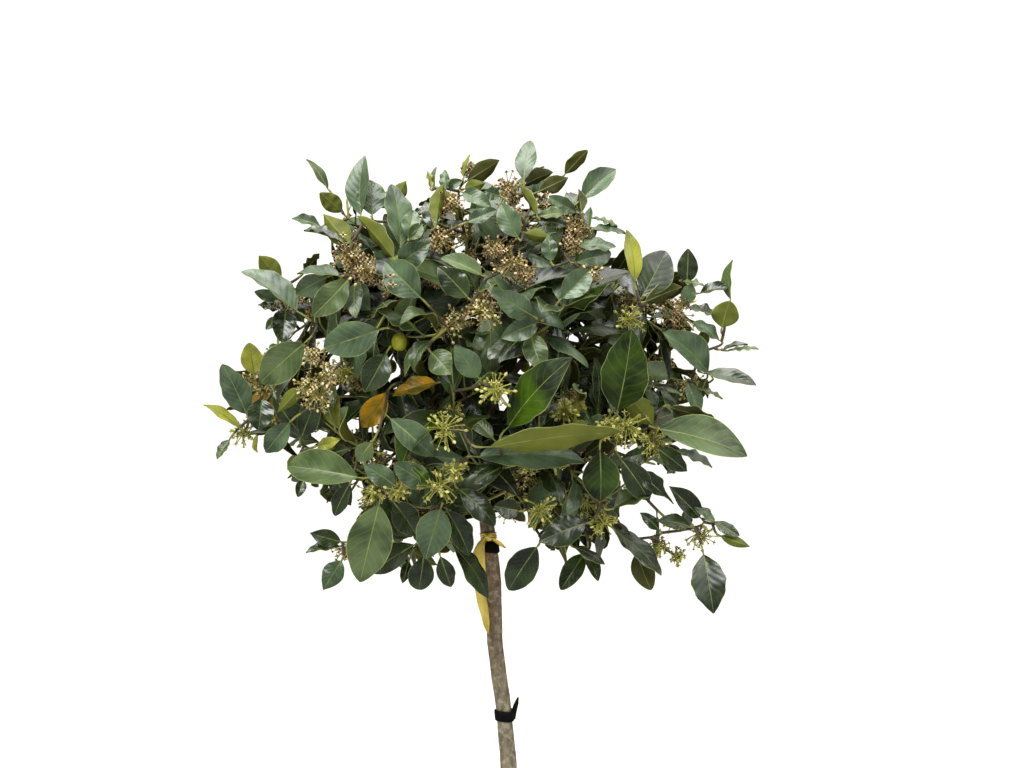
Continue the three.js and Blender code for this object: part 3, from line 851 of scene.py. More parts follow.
@dataclass(frozen=True)
class BladeForm:
    """What all blades share: where their surfaces have points, and how thick they are."""

    stations: tuple[float, ...] = (0.0, 0.04, 0.12, 0.23, 0.35, 0.47, 0.59, 0.70, 0.80, 0.885, 0.95, 1.0)
    rib_line: float = 0.05  # stands for the edge of the rib, whose width is its own
    rib_half_width: float = 0.00055
    rib_share: float = 0.4  # of the half width, at most
    rib_taper: float = 1.25
    rib_relief: float = 0.0004
    edge_line: float = 0.975
    thickness: float = 0.0006
    thin_edge: float = 0.004  # blades narrower than this are thinner
    root_blunt: float = 0.88  # below 1, the blade's root is rounder
    bend_curve: float = 1.3  # above 1, a blade bends more near its tip
    twist_from: float = 0.3
    uneven: float = 2.1  # by which the ripples of the halves differ, in radians
    tooth_spacing: float = 0.235  # as a share of the length, twice that of the stations
    least_half_width: float = 0.0005
    stalk_radius: float = 0.0008

    def lines(self) -> tuple[float, ...]:
        """The lines of points from edge to edge of a face."""
        half = (self.rib_line, 0.5, self.edge_line, 1.0)
        return tuple(-line for line in reversed(half)) + half

    def column(self, leaves: list[Leaf], name: str, axes: int = 1) -> Points:
        """One feature of each leaf, ready to be spread over a number of further axes."""
        values = np.array([getattr(leaf, name) for leaf in leaves])
        return values.reshape(len(leaves), *[1] * axes, *values.shape[1:])

    def surface(self, leaves: list[Leaf], stations: Shares, lines: Shares, below: float = 0.0) -> Points:
        """The points of one face of each leaf.

        Args:
            leaves: the leaves.
            stations: shares of the blade's length that have points.
            lines: shares of its half width that have points.
            below: how far the face lies under the upper face, away from the edges.

        Returns:
            The points by leaf, station and line.
        """
        length, width, droop, rise, fold, cup, twist, wave, phase, ripples, blunt, widest, sweep, teeth, stalk = (
            self.column(leaves, name) for name in ("length", *list(LEAF_RANGES)[:-1])
        )
        foot, ahead, face = (self.column(leaves, name, 2) for name in ("foot", "direction", "face"))
        along, line = np.asarray(stations)[None], np.asarray(lines)[None, None]
        bend = droop * along**self.bend_curve - rise
        middle = (bend[:, 1:] + bend[:, :-1]) / 2
        step = np.diff(along) * length
        start = np.zeros((len(leaves), 1))
        run = np.concatenate([start, np.cumsum(step * np.cos(middle), 1)], 1) + stalk
        fall = np.concatenate([start, np.cumsum(step * np.sin(middle), 1)], 1)
        power = mix(self.root_blunt, blunt, along)
        rounded = np.sin(math.pi * along ** (math.log(0.5) / np.log(widest)))
        toothed = 1 + teeth * np.cos(FULL_TURN * along / self.tooth_spacing)
        half = np.maximum(width / 2 * np.clip(rounded, 0, 1) ** power * toothed, self.least_half_width)[..., None]
        rib = np.minimum(self.rib_half_width * (self.rib_taper - along)[..., None], self.rib_share * half)
        across = np.where(np.abs(line) == self.rib_line, np.sign(line) * rib, line * half)
        on_rib = np.where(np.abs(line) == self.rib_line, self.rib_relief, 0.0)
        lift = np.abs(across) * fold[..., None] + cup[..., None] * across**2 / width[..., None]
        ripple = np.sin(FULL_TURN * (ripples * along)[..., None] + phase[..., None] + self.uneven * (line < 0))
        lift = lift + wave[..., None] * ripple * line**2 * np.sin(math.pi * along)[..., None]
        sunk = below * (np.abs(line) < 1) * np.minimum(1, half / self.thin_edge)
        lift = lift - on_rib * (1 if below == 0 else 2) - sunk
        turn = (twist * (along - self.twist_from))[..., None]
        aside = across * np.cos(turn) - lift * np.sin(turn) + (sweep * length * along**2)[..., None]
        lift = across * np.sin(turn) + lift * np.cos(turn)
        bend = bend[..., None]
        forward = run[..., None] + lift * np.sin(bend)
        upward = lift * np.cos(bend) - fall[..., None]
        return foot + ahead * forward[..., None] + np.cross(face, ahead) * aside[..., None] + face * upward[..., None]

    def stalks(self, leaves: list[Leaf]) -> Points:
        """The points of the leaves' stalks, from inside the twig to inside the blade's root.

        Args:
            leaves: the leaves.

        Returns:
            The points by leaf, ring and place in the ring.
        """
        foot, ahead, face = (self.column(leaves, name, 2) for name in ("foot", "direction", "face"))
        share = np.array([0.0, 0.5, 1.0, 1.35])[None, :, None, None]
        radius = self.stalk_radius * np.array([1.5, 1.0, 0.9, 0.3])[None, :, None, None]
        turn = circle(4)[None, None, :, None]
        round_it = np.cross(face, ahead) * np.cos(turn) + face * np.sin(turn)
        run = ahead * self.column(leaves, "stalk", 3) * share
        return foot + run + round_it * radius - face * self.thickness * share

    def whole(self, leaves: list[Leaf]) -> list[Points]:
        """The points of the upper and the lower faces."""
        return [self.surface(leaves, self.stations, self.lines(), below) for below in (0.0, self.thickness)]

    def feelers(self, leaf: Leaf) -> Points:
        """A few points of a blade, by which it finds out whether a place is free."""
        return self.surface([leaf], (0.3, 0.5, 0.7, 0.88, 1.0), (-0.75, 0.0, 0.75)).reshape(-1, 3)

    def outline(self, leaf: Leaf) -> Points:
        """Close points all over a blade, by which it is told what it would hide."""
        return self.surface([leaf], np.linspace(0.05, 1, 27), np.linspace(-0.98, 0.98, 13)).reshape(-1, 3)


# Directions spread evenly all round.
BALL = np.array([heading(k * GOLDEN_TURN, math.degrees(math.asin(1 - (2 * k + 1) / 24))) for k in range(24)])
BLADE = BladeForm()
FINE_BLADE = BladeForm((0.0, 0.03, *(number / 100 for number in range(7, 92, 6)), 0.96, 1.0))

# How far the leaves reach from the crown's middle in the front view, every 5 degrees anticlockwise from +X, in
# millimetres.
VIEW_REACH = (
    244, 260, 269, 275, 281, 248, 248, 200, 208, 210, 204, 202, 252, 252, 225, 223, 244, 216,
    223, 220, 212, 216, 193, 220, 256, 246, 254, 244, 252, 216, 220, 265, 260, 246, 231, 254,
    273, 277, 286, 273, 254, 231, 235, 216, 214, 260, 271, 279, 256, 237, 242, 239, 227, 233,
    307, 307, 229, 216, 244, 242, 246, 237, 286, 290, 307, 307, 223, 235, 284, 275, 235, 235,
)  # fmt: skip
# Where the sky shows between the shoots in the front view, by radius: right and up, in turn, in millimetres.
SKY_GAPS = {
    15: (14, 742),
    12: (-163, 1161, -18, 715),
    11: (184, 1053, -287, 987, -224, 801),
    9: (-200, 805, -22, 783),
    8: (-203, 1148, -260, 1063, 129, 811, -30, 1171, 139, 837, -69, 699, 82, 1094, -131, 1131, 61, 1130),
    7: (98, 803, -234, 1087, -228, 757, -72, 715),
    6: (
        -203, 788, -222, 1073, -285, 1011, -200, 732, -22, 694, 183, 977, 189, 857, 59, 1171, 125, 847,
        136, 756, -35, 785,
    ),
    5: (
        -48, 1153, -226, 1120, 51, 1163, 36, 1155, 188, 899, -269, 862, -66, 794, 105, 790, -5, 779,
        -148, 740, -24, 681, 180, 1009, 95, 835, 112, 812,
    ),
    4: (
        112, 1067, 172, 1025, -251, 996, 90, 765, 158, 756, -25, 1157, 32, 1145, -78, 1097, 171, 1012,
        -173, 739, -102, 735, -201, 1124, 154, 857, 93, 847, 55, 842, -192, 826, -66, 784, 157, 782,
        141, 780,
    ),
    3: (
        -85, 1162, -38, 1158, -75, 1128, 166, 1042, 167, 996, -105, 743, -124, 1116, 62, 1109, -79, 1081,
        195, 1033, 180, 1028, -326, 899, -167, 893, -168, 871, 178, 864, -178, 860, 201, 858, 134, 745,
        -162, 1118, -168, 1114, -220, 1087, -260, 1047, 203, 994, -226, 981, -314, 965, -206, 958, -329, 914,
        197, 892, -223, 884, 150, 875, 90, 871, 52, 850, -182, 818, -66, 775, 73, 759, 52, 742,
        -103, 1158, -116, 1141, 16, 1141, 11, 1138, -13, 1127, 23, 1124, -231, 1103, 81, 1078, 187, 1001,
        39, 983, 148, 969, 193, 967, 189, 962, -152, 952, -32, 918, -193, 897, 99, 874, 156, 873,
        -240, 870, 166, 868, 172, 866, -150, 860, 115, 851, -188, 834, 115, 786, 111, 775, 3, 770,
        -66, 762,
    ),
}  # fmt: skip


@dataclass
class Room:
    """The room that leaves and blossom fill, so that each new leaf finds its own."""

    pitch: float = 0.0026  # the side of a cube of room, and of a pane through which it is seen
    count: int = 290  # of cubes or panes on a side
    gap_margin: float = 0.4  # by which a gap is kept wider, in panes

    def __post_init__(self) -> None:
        """Keeps the gaps clear through which the sky shows."""
        self.filled = np.zeros((self.count,) * 3, bool)
        self.panes = np.full((self.count,) * 2, -1.0)
        column, row = np.meshgrid(np.arange(self.count), np.arange(self.count), indexing="ij")
        right = (column + 0.5 - self.count / 2) * self.pitch + CROWN_MIDDLE[0]
        up = (row + 0.5 - self.count / 2) * self.pitch + CROWN_MIDDLE[2]
        for radius, gaps in SKY_GAPS.items():
            for gap_right, gap_up in np.reshape(gaps, (-1, 2)) / MILLIMETRES:
                away = np.hypot(right - gap_right, up - gap_up)
                self.panes[away < radius / MILLIMETRES + self.gap_margin * self.pitch] = math.inf

    def cubes(self, points: Points) -> tuple[Points, ...]:
        """The cubes that points lie in."""
        cubes = np.floor((points - CROWN_MIDDLE) / self.pitch + self.count / 2).astype(int)
        return tuple(np.clip(cubes, 1, self.count - 2).T)

    def from_middle(self, points: Points) -> Points:
        """Where points are seen from the front, from the crown's middle, in the stem's plane."""
        level = EYE + (points - EYE) * (-EYE[1] / (points[:, 1] - EYE[1]))[:, None]
        return level[:, [0, 2]] - CROWN_MIDDLE[[0, 2]]

    def seen(self, points: Points) -> tuple[Points, ...]:
        """The panes in which points are seen from the front."""
        panes = np.floor(self.from_middle(points) / self.pitch + self.count / 2).astype(int)
        return tuple(np.clip(panes, 0, self.count - 1).T)

    def fill(self, points: Points) -> None:
        """Fills the room round points."""
        cubes = self.cubes(points)
        for step in itertools.product((-1, 0, 1), repeat=3):
            self.filled[tuple(cube + by for cube, by in zip(cubes, step))] = True

    def show(self, points: Points) -> None:
        """Keeps what stands before these points clear."""
        np.maximum.at(self.panes, self.seen(points), points[:, 1])

    def free(self, points: Points) -> bool:
        """Whether points lie in free room."""
        return not self.filled[self.cubes(points)].any()

    def hides_nothing(self, points: Points) -> bool:
        """Whether points stand before nothing that is shown, nor in a gap."""
        return bool((self.panes[self.seen(points)] < points[:, 1]).all())

    def within(self, points: Points) -> bool:
        """Whether points lie inside the crown's outline in the front view.

        Args:
            points: the points.

        Returns:
            Whether all of them do.
        """
        away = self.from_middle(points)
        place = (np.degrees(np.arctan2(away[:, 1], away[:, 0])) % 360) / 360 * len(VIEW_REACH)
        reach = np.interp(place, np.arange(len(VIEW_REACH) + 1), (*VIEW_REACH, VIEW_REACH[0])) / MILLIMETRES
        return bool((np.hypot(away[:, 0], away[:, 1]) <= reach).all())


@dataclass(frozen=True)
class PlacedLeaf:
    """A leaf of the front that has its own place: from foot to tip, and how wide it shows."""

    foot: Points
    tip: Points
    seen_width: float
    tone: Tone
    side: Side
    toothless: float = 0.045  # up to this length, a leaf's edge is plain
    blade_share: float = 0.92  # of the way from foot to tip
    stalk_share: float = 0.08
    widening: float = 1.05
    calm: float = 0.4  # of the usual twist and cup
    folded: float = 0.12  # more than usual

    @classmethod
    def read(cls, row: Points, look: tuple[Tone, Side]) -> PlacedLeaf:
        """The leaf of a row of the table below, and of its look."""
        foot, tip = row[:3] * FORWARD, (row[:3] + row[3:6]) * FORWARD
        return cls(foot / MILLIMETRES, tip / MILLIMETRES, row[6] / MILLIMETRES, *look)

    def leaf(self, stream: Stream) -> Leaf:
        """The leaf, rolled until it shows as wide as it should.

        Args:
            stream: where its form is drawn from.

        Returns:
            The leaf.
        """
        run, under = self.tip - self.foot, self.side is Side.UNDER
        reach, direction = float(np.linalg.norm(run)), unit(run)
        toward = square_to(direction, EYE - (self.foot + self.tip) / 2)
        sideways = np.cross(direction, toward)
        upward = sideways if sideways[2] > 0 else -sideways
        width = max(self.seen_width, reach * (0.31 if self.tone is Tone.OLIVE else 0.42))
        roll = math.acos(min(1.0, self.seen_width / width))
        face = unit(toward * (-1.0 if under else 1.0) * math.cos(roll) + upward * math.sin(roll))
        leaf = Leaf.grown(stream, self.foot, direction, face, reach * self.blade_share, self.tone)
        leaf.width = self.widening * width
        leaf.droop, leaf.rise = (0.3, 0.14) if under else (0.5, 0.23)
        leaf.twist *= self.calm
        leaf.cup *= self.calm
        leaf.fold += self.folded
        leaf.blunt = mix(0.58, 1.0, leaf.paleness)
        leaf.widest = mix(0.42, leaf.widest, 0.5)
        # Painted light: the mid-green leaves of the front are paler than others of their tone, standing in for the
        # light and soft highlight that they catch.
        leaf.paleness = 0.85 if self.tone is Tone.MID else 0.5
        leaf.stalk = reach * self.stalk_share
        leaf.teeth = leaf.teeth if reach > self.toothless else 0.0
        leaf.fine = True
        return leaf


FORWARD = np.array([1, -1, 1])  # turns right, forward and up into X, Y and Z
# The leaves of the front with places of their own, by look, three to a line, in millimetres: the foot, right,
# forward and up; the way from there to the tip, likewise; and the seen width.
PLACED_LEAVES = {
    # The blue-grey colour of these leaves is partly painted sheen.
    (Tone.BLUE, Side.TOP): (
        -64, 180, 874, 106, -18, -5, 31, -90, 167, 829, -16, -6, -51, 31, -140, 197, 989, -54, -5, -19, 30,
        -126, 177, 1059, -13, -25, 66, 24, -105, 193, 1014, -36, -7, 35, 30, -168, 140, 1093, 2, -15, 63, 20,
        -157, 139, 1095, -2, -14, 38, 28, -15, 159, 1124, 3, -17, 43, 19, 36, 143, 1109, 35, -14, 35, 21,
        -223, 140, 1005, -62, -11, 39, 17, -278, 117, 907, -18, 14, 53, 25, -187, 119, 773, -18, 12, -28, 20,
        -207, 117, 1090, -28, 8, 7, 9, -5, 204, 998, -38, 16, 22, 21, -1, 196, 995, -35, 15, -15, 19,
        -54, 202, 943, -22, 10, 31, 21, 17, 193, 1014, 27, -8, 28, 22, -19, 185, 1069, -18, -8, 33, 20,
        174, 119, 980, -29, 4, 18, 10, 166, 111, 947, -49, 26, 45, 24, 139, 115, 1014, 8, 6, 21, 14,
        140, 120, 943, 14, 1, -34, 14, 46, 159, 1082, 36, -15, -4, 6, -181, 167, 1038, -44, -17, 4, 9,
        -195, 154, 1039, -34, -14, -14, 20, -249, 113, 1020, -22, 8, 8, 11, -251, 111, 1004, -11, 6, -12, 9,
        -240, 132, 967, -16, -7, 9, 9, -233, 135, 905, -29, -16, -30, 21, -87, 161, 1116, 0, -8, 22, 9,
        -87, 153, 1122, 15, 2, 6, 9, -98, 157, 1121, 2, -7, 20, 4, -73, 158, 1117, 29, 13, -16, 14,
        -36, 165, 1111, -15, 0, 6, 12, -68, 180, 1085, 29, -6, 11, 12, -120, 175, 1070, 2, -11, 29, 16,
        -129, 186, 1046, 29, 6, 21, 22, 36, 149, 1098, -29, 8, 13, 14, 44, 160, 1079, 4, -9, 25, 8,
        31, 174, 1064, 38, -12, 3, 11, 30, 177, 1049, 35, -15, 12, 19, 10, 182, 1048, -4, -4, 26, 14,
        128, 120, 877, 37, 5, -16, 9, 169, 123, 807, -25, 2, 16, 9, -129, 171, 844, -30, 7, 24, 18,
        -97, 181, 845, -34, 10, 24, 22,
    ),
    (Tone.BRIGHT, Side.TOP): (
        -34, 194, 896, 61, 36, 67, 33, 69, 170, 910, 18, 21, 78, 41, 54, 175, 882, 4, -18, -50, 33,
        46, 105, 779, -24, 10, -38, 19, -97, 192, 847, -20, 8, 19, 9,
    ),
    (Tone.DEEP, Side.TOP): (
        -87, 155, 825, 21, -20, -48, 21, -84, 136, 791, 36, -25, -56, 19, -111, 104, 776, -4, -7, -37, 24,
        -116, 116, 788, -45, -21, -34, 23, 0, 134, 789, -31, -21, -46, 28, 47, 141, 810, -50, 20, -12, 27,
        155, 125, 782, 9, 22, -57, 31, -138, 180, 970, -20, 1, -39, 25, 93, 149, 1017, 29, -21, 47, 34,
        141, 115, 1033, 2, 10, 35, 19, -187, 117, 788, -31, 8, 9, 16, -188, 117, 785, -33, 12, -6, 9,
        156, 119, 810, -35, 10, 31, 19, 116, 117, 799, -20, 8, 19, 11, 147, 119, 803, -36, 6, 8, 14,
        164, 125, 810, 24, 6, -16, 11, 70, 116, 802, 47, 9, -44, 18, 153, 119, 951, 51, 16, -14, 12,
        73, 151, 873, 32, -21, -43, 24, -19, 187, 925, 32, 5, 25, 22, -228, 119, 886, 24, 20, 43, 21,
        -199, 120, 857, 21, 4, -33, 19, -63, 202, 1014, -27, 1, 31, 23, 152, 115, 1026, 29, 10, 6, 9,
        174, 119, 1002, -32, 2, 9, 7, 172, 129, 972, 25, 2, 5, 3, -180, 151, 1070, -43, -16, 13, 7,
        -245, 116, 1011, -23, 5, 4, 8, -241, 120, 1014, -1, 14, -36, 22, -265, 115, 928, -1, 6, -33, 24,
        -94, 176, 1076, -10, -12, 31, 15, -100, 157, 1101, -18, 4, -4, 7, 22, 148, 1107, -23, 9, -3, 6,
        -5, 160, 1090, 30, -1, -5, 11, 107, 146, 882, 31, -16, -28, 17, 107, 134, 875, -31, 13, -5, 15,
        90, 144, 859, 28, -15, -27, 16, 105, 108, 839, -17, 10, 19, 14, -225, 115, 848, -6, 6, -16, 10,
        -175, 159, 848, -17, -13, -31, 15, -139, 139, 831, 25, -12, -33, 25, -126, 93, 768, -6, 2, -23, 10,
        -95, 117, 777, 10, -13, -34, 17, -77, 179, 847, 37, -14, -36, 20, -18, 167, 823, -25, 8, 5, 18,
        30, 122, 786, 33, -5, -19, 9, 44, 107, 778, 14, 8, -27, 12,
    ),
    (Tone.DEEP, Side.UNDER): (
        -19, 142, 1124, 32, -14, 17, 13, -70, 148, 1127, 33, -15, 22, 17, 93, 109, 780, 12, 10, -38, 21,
        161, 117, 947, -10, 4, -25, 11, 120, 140, 919, 45, -17, -16, 12, 95, 152, 1015, 39, -16, 15, 16,
        -224, 126, 1044, 17, 10, 18, 9, -267, 121, 934, -26, 4, -6, 12, -3, 149, 1117, 30, -14, 17, 16,
        39, 151, 1097, -2, -10, 25, 9,
    ),
    (Tone.MID, Side.TOP): (
        103, 147, 900, 93, -12, -29, 32, -161, 165, 853, -76, -28, 7, 32, -146, 168, 835, -23, -31, -82, 40,
        -214, 156, 980, -51, -23, -38, 32, 181, 125, 1017, 1, 4, 40, 9, -293, 125, 888, -11, 6, -20, 8,
        -200, 117, 1124, -21, 8, 29, 8, -10, 197, 987, 9, 11, -37, 21, -99, 201, 969, 21, 12, -21, 23,
        176, 129, 971, 31, 4, 1, 3, 148, 119, 937, 26, 6, -13, 4, 135, 117, 1038, 22, 6, -5, 5,
        47, 147, 1095, 26, -3, -9, 3, -173, 168, 1038, -33, 2, -39, 25, -120, 174, 1069, 12, -4, 17, 12,
        -50, 198, 1035, -39, -4, 18, 13, -4, 167, 1092, 27, -9, 4, 9, 67, 139, 822, 45, -19, 20, 17,
        -152, 175, 888, -15, -9, -19, 16,
    ),
    (Tone.MID, Side.UNDER): (
        23, 116, 1138, 22, 13, 23, 13,
    ),
    (Tone.OLD, Side.TOP): (
        -140, 157, 934, -24, -9, -36, 22, -92, 167, 941, -44, -7, -11, 15,
    ),
    (Tone.OLIVE, Side.TOP): (
        89, 149, 1030, -6, -8, 54, 15, -282, 125, 896, -34, 8, 25, 9, -272, 117, 947, -3, 6, 32, 20,
        -209, 147, 881, 25, 10, 7, 11, -100, 160, 1118, -5, -8, 19, 5, -71, 154, 1129, 5, -10, 24, 4,
    ),
    (Tone.OLIVE, Side.UNDER): (
        -54, 215, 884, 125, -3, 9, 22, 108, 139, 898, -23, 15, 30, 22, -174, 153, 1068, -31, -16, 29, 21,
        -130, 178, 1050, -39, -22, 45, 15, -187, 116, 1102, -20, 9, 20, 17, -136, 135, 1112, 10, -4, 19, 13,
        173, 125, 991, 5, 8, 27, 25, -245, 115, 1037, -22, 10, 23, 19, 170, 125, 796, 28, 10, -10, 10,
        154, 115, 970, 6, 4, 23, 11, -222, 150, 937, -23, -13, -25, 13, -95, 180, 1082, 4, -15, 42, 12,
        -71, 151, 1120, 20, -3, 7, 12, -1, 171, 1090, -19, -14, 32, 8, -16, 176, 1077, 24, -1, -6, 12,
        -228, 126, 872, -13, -7, -14, 10,
    ),
}  # fmt: skip

# The clusters of the front, by age, five to a line, in millimetres: the middle, right, forward and up; the radius.
PLACED_CLUSTERS = {
    Ripeness.BROWN: (
        -176, 153, 1056, 17, -160, 170, 1043, 15, -134, 188, 1028, 12, -83, 158, 1104, 14, -91, 181, 1069, 13,
        -30, 143, 1121, 16, -28, 166, 1094, 15, -26, 193, 1046, 18, 32, 156, 1082, 17, 130, 115, 1005, 18,
        -239, 110, 1020, 16, 45, 175, 1038, 12, -41, 188, 1060, 13, -14, 195, 1037, 11, 32, 166, 1067, 13,
        -182, 140, 1070, 13, 5, 148, 1106, 11, -66, 118, 1144, 8,
    ),
    Ripeness.TAN: (
        -50, 209, 1003, 16, -203, 160, 929, 18, -271, 103, 943, 15, -208, 157, 966, 13, -213, 153, 938, 14,
        -187, 103, 779, 14, 146, 103, 938, 14, -192, 170, 948, 12,
    ),
    Ripeness.FRESH: (
        -41, 213, 934, 18, -85, 206, 899, 18, -91, 186, 848, 19, 0, 167, 824, 16, 58, 128, 811, 19,
        78, 166, 902, 20, 82, 165, 998, 18, 156, 103, 793, 15, 21, 198, 916, 12, -284, 103, 893, 16,
        -152, 162, 842, 15, 104, 139, 887, 17, 112, 127, 879, 11, 117, 103, 784, 11, 133, 103, 773, 9,
        63, 176, 902, 15, -128, 173, 843, 12, -77, 195, 863, 12,
    ),
}  # fmt: skip

# The unripe berries, one at the front and one on each side that isn't seen, likewise.
PLACED_BERRIES = ((-127, 188, 977, 7), (-170, -175, 960, 7), (-10, -196, 960, 6))


@dataclass(frozen=True)
class FlowerForm:
    """The flowers of one age: how many to a cluster, how many of them open, and their sizes."""

    flowers: int
    open_share: float
    stalk_radius: float = 0.0004
    bud_length: float = 0.0032
    bud_width: float = 0.0028
    star_reach: float = 0.0037
    star_notch: float = 0.0013
    centre_radius: float = 0.0012


FLOWER_FORMS = {
    Ripeness.FRESH: FlowerForm(43, 0.72, 0.00054, 0.0042, 0.0030, 0.0034, 0.0010, 0.0010),
    Ripeness.TAN: FlowerForm(48, 0.7),
    Ripeness.BROWN: FlowerForm(52, 0.8),
}


@dataclass
class Cluster:
    """A cluster of stalked flowers round a twig."""

    centre: Points
    axis: Points
    radius: float
    ripeness: Ripeness
    flowers: int


@dataclass(frozen=True)
class TwigForm:
    """The twigs of one kind: radii at foot and tip, points, and leaves, outer and inner."""

    radii: Span
    points: int
    leaves: tuple[int, int]


@dataclass
class Growth:
    """Grows the crown by the rule of the solids, and carries it on to finer twigs, leaves and blossom."""

    stem: Stem
    crown: Crown
    room: Room = field(default_factory=Room)
    bough_reach: float = 0.092
    bough_arch: float = 0.044
    lower_boughs_from: float = 0.812
    upper_boughs_from: float = 0.866
    bough_spacing: float = 0.012
    bough_stride: int = 3
    shoot_count: int = 112
    inner_every: int = 5
    inner_share: float = 0.56
    shoot_inset: float = 0.040
    reach_jitter: float = 0.009
    open_cone: float = 24.0
    # Long shoots: direction across the view, reach, and degrees away from the viewer.
    long_shoots: Rows = (
        (-39, 0.260, -3), (-20, 0.214, -4), (18, 0.228, -4), (60, 0.194, 6),
        (129, 0.224, -10), (181, 0.230, -6), (192, 0.230, 9), (239, 0.204, -8),
    )  # fmt: skip
    mass_stem_share: float = 0.62
    forks_on_stem: Shares = (0.25, 0.4, 0.55, 0.7, 0.85)
    forks_on_twig: Shares = (0.3, 0.5, 0.7)
    turn_back_penalty: float = 1.1
    space_gap: float = 0.0012
    shoot_form: TwigForm = TwigForm((0.0021, 0.0012), 9, (11, 6))
    shoot_knee: float = 0.55
    shoot_sag: float = 0.07  # as a share of its length
    shoot_bow: float = 0.05
    blossom_share: float = 0.6  # of the outer shoots
    side_form: TwigForm = TwigForm((0.0013, 0.0009), 5, (7, 4))
    side_shoots: Shares = (0.42, 0.62, 0.80)
    side_length: Span = (0.032, 0.058)
    side_spread: float = 48.0
    side_turn: float = 70.0
    side_lift: float = 0.25
    side_sag: float = 0.004
    side_inset: float = 0.8  # in the shoots' inset
    side_blossom: float = 0.3
    side_room: float = 0.012  # the least way from a side shoot to the tip
    bare_length: float = 0.045  # of shoots too short for side shoots
    carrier_form: TwigForm = TwigForm((0.0016, 0.001), 7, (6, 6))
    carrier_spacing: float = 0.013
    carrier_bend: float = 0.3
    carrier_aim: float = 0.7
    leaf_length: float = 0.076
    leaf_length_spread: float = 0.013
    tip_leaf_share: float = 0.68  # of the full length, rising over the first leaves
    full_length_from: float = 2.5
    leaf_spread_tip: float = 18.0
    leaf_spread_foot: float = 80.0
    leaf_spread_curve: float = 0.6
    light_from_above: float = 0.9
    leaf_tries: int = 14
    try_turn: float = 41.0
    shortest: float = 0.58  # of a leaf that has to fit in, as a share of its length
    past_shoot: float = 0.045  # how far leaves may reach past their shoot
    most_cut: float = 0.3  # of a leaf's length, to keep it inside the reach
    same_tone: float = 0.6  # share of a shoot's leaves that share its looks
    young_leaves: int = 3
    front_from: float = -0.06  # before this, clusters without a place of their own stand deeper
    sparse: float = 0.6  # the share of flowers in such a cluster
    bloom_depth_front: float = 0.026
    bloom_depth: float = 0.01
    bloom_spacing: float = 0.016
    bloom_radius: Span = (0.011, 0.016)
    ripening: Span = (0.86, 0.3)  # from this height, over this height, blossom turns brown
    wood: list[Points] = field(default_factory=list)
    mass_stems: list[Points] = field(default_factory=list)
    shoots: list[Shoot] = field(default_factory=list)
    leaves: list[Leaf] = field(default_factory=list)
    clusters: list[Cluster] = field(default_factory=list)
    berries: list[tuple[Points, float]] = field(default_factory=list)  # the middle and radius of each

    def bough_route(self, index: int, count: int = 28) -> Points:
        """The points of a bough's middle, from the stem's middle to its tip.

        Args:
            index: the number of its mass.
            count: how many points.

        Returns:
            The points.
        """
        elevation = MASSES[index][2]
        ring = [number for number, mass in enumerate(MASSES) if mass[2] == elevation]
        height = self.stem.top
        if len(ring) > 1:
            base = self.upper_boughs_from if elevation > 0 else self.lower_boughs_from
            height = base + ring.index(index) * self.bough_stride % len(ring) * self.bough_spacing
        axis = self.crown.axes[index]
        tip = CROWN_MIDDLE + axis * self.bough_reach
        return bend_through(self.stem.axis(height), tip - axis * self.bough_arch, tip, count)

    def tips(self) -> list[tuple[Points, float, bool]]:
        """The tips of all shoots.

        Returns:
            The direction and reach of each, and whether it stays inside the crown.
        """
        stream, made = Stream(2969), []
        for number in range(self.shoot_count):
            rise = 1 - (2 * number + 1) / self.shoot_count
            direction = heading(number * GOLDEN_TURN, math.degrees(math.asin(rise)))
            jitter = stream.between(-self.reach_jitter, self.reach_jitter)
            if direction[2] < -math.cos(math.radians(self.open_cone)):
                continue
            inner = number % self.inner_every == 2
            reach = self.crown.reach_in(direction) - self.shoot_inset + jitter
            made.append((direction, reach * (self.inner_share if inner else 1), inner))
        for turn, reach, out in self.long_shoots:
            flat, turn, out = math.cos(math.radians(out)), math.radians(turn), math.radians(out)
            made.append((np.array([flat * math.cos(turn), math.sin(out), flat * math.sin(turn)]), reach, False))
        return made

    def in_space(self, point: Points, index: int, margin: float) -> bool:
        """Whether a point lies in the space of a mass.

        Args:
            point: the point.
            index: the number of the mass.
            margin: how far from the space's walls it has to lie.

        Returns:
            Whether it does.
        """
        walls = np.delete(self.crown.axes[index] - self.crown.axes, index, 0)
        walls /= np.linalg.norm(walls, axis=1, keepdims=True)
        return bool((walls @ (point - CROWN_MIDDLE) >= self.space_gap / 2 + margin).all())

    def nearest_place(self, end: Points, direction: Points, places: Points) -> int:
        """The number of the place on the wood from which a twig to an end turns back least."""
        lengths = np.maximum(np.linalg.norm(end - places, axis=1), 1e-6)
        return int(np.argmin(lengths * (1 + self.turn_back_penalty * (1 - (end - places) @ direction / lengths))))

    def tone_at(self, stream: Stream, point: Points, outer: bool) -> Tone:
        """Deals out a leaf's looks, by its place in the crown.

        Args:
            stream: where they are drawn from.
            point: the place.
            outer: whether it lies at the crown's surface.

        Returns:
            The looks.
        """
        rise = float(np.clip((point[2] - 0.82) / 0.34, 0, 1))
        shares = {
            Tone.OLIVE: (0.03 + 0.07 * rise) * outer,
            # Painted sheen: the blue-grey leaves are dealt out more the higher they stand, where the sky shines on
            # them.
            Tone.BLUE: 0.13 + 0.16 * rise,
            Tone.BRIGHT: 0.05 - 0.03 * rise,
            Tone.OLD: 0.0 if outer else 0.004,
            Tone.MID: 0.24,
            Tone.SHADE: 0.16 if outer else 0.3,
        }
        drawn = stream.draw()
        for tone, share in shares.items():
            drawn -= share
            if drawn < 0:
                return tone
        return Tone.DEEP

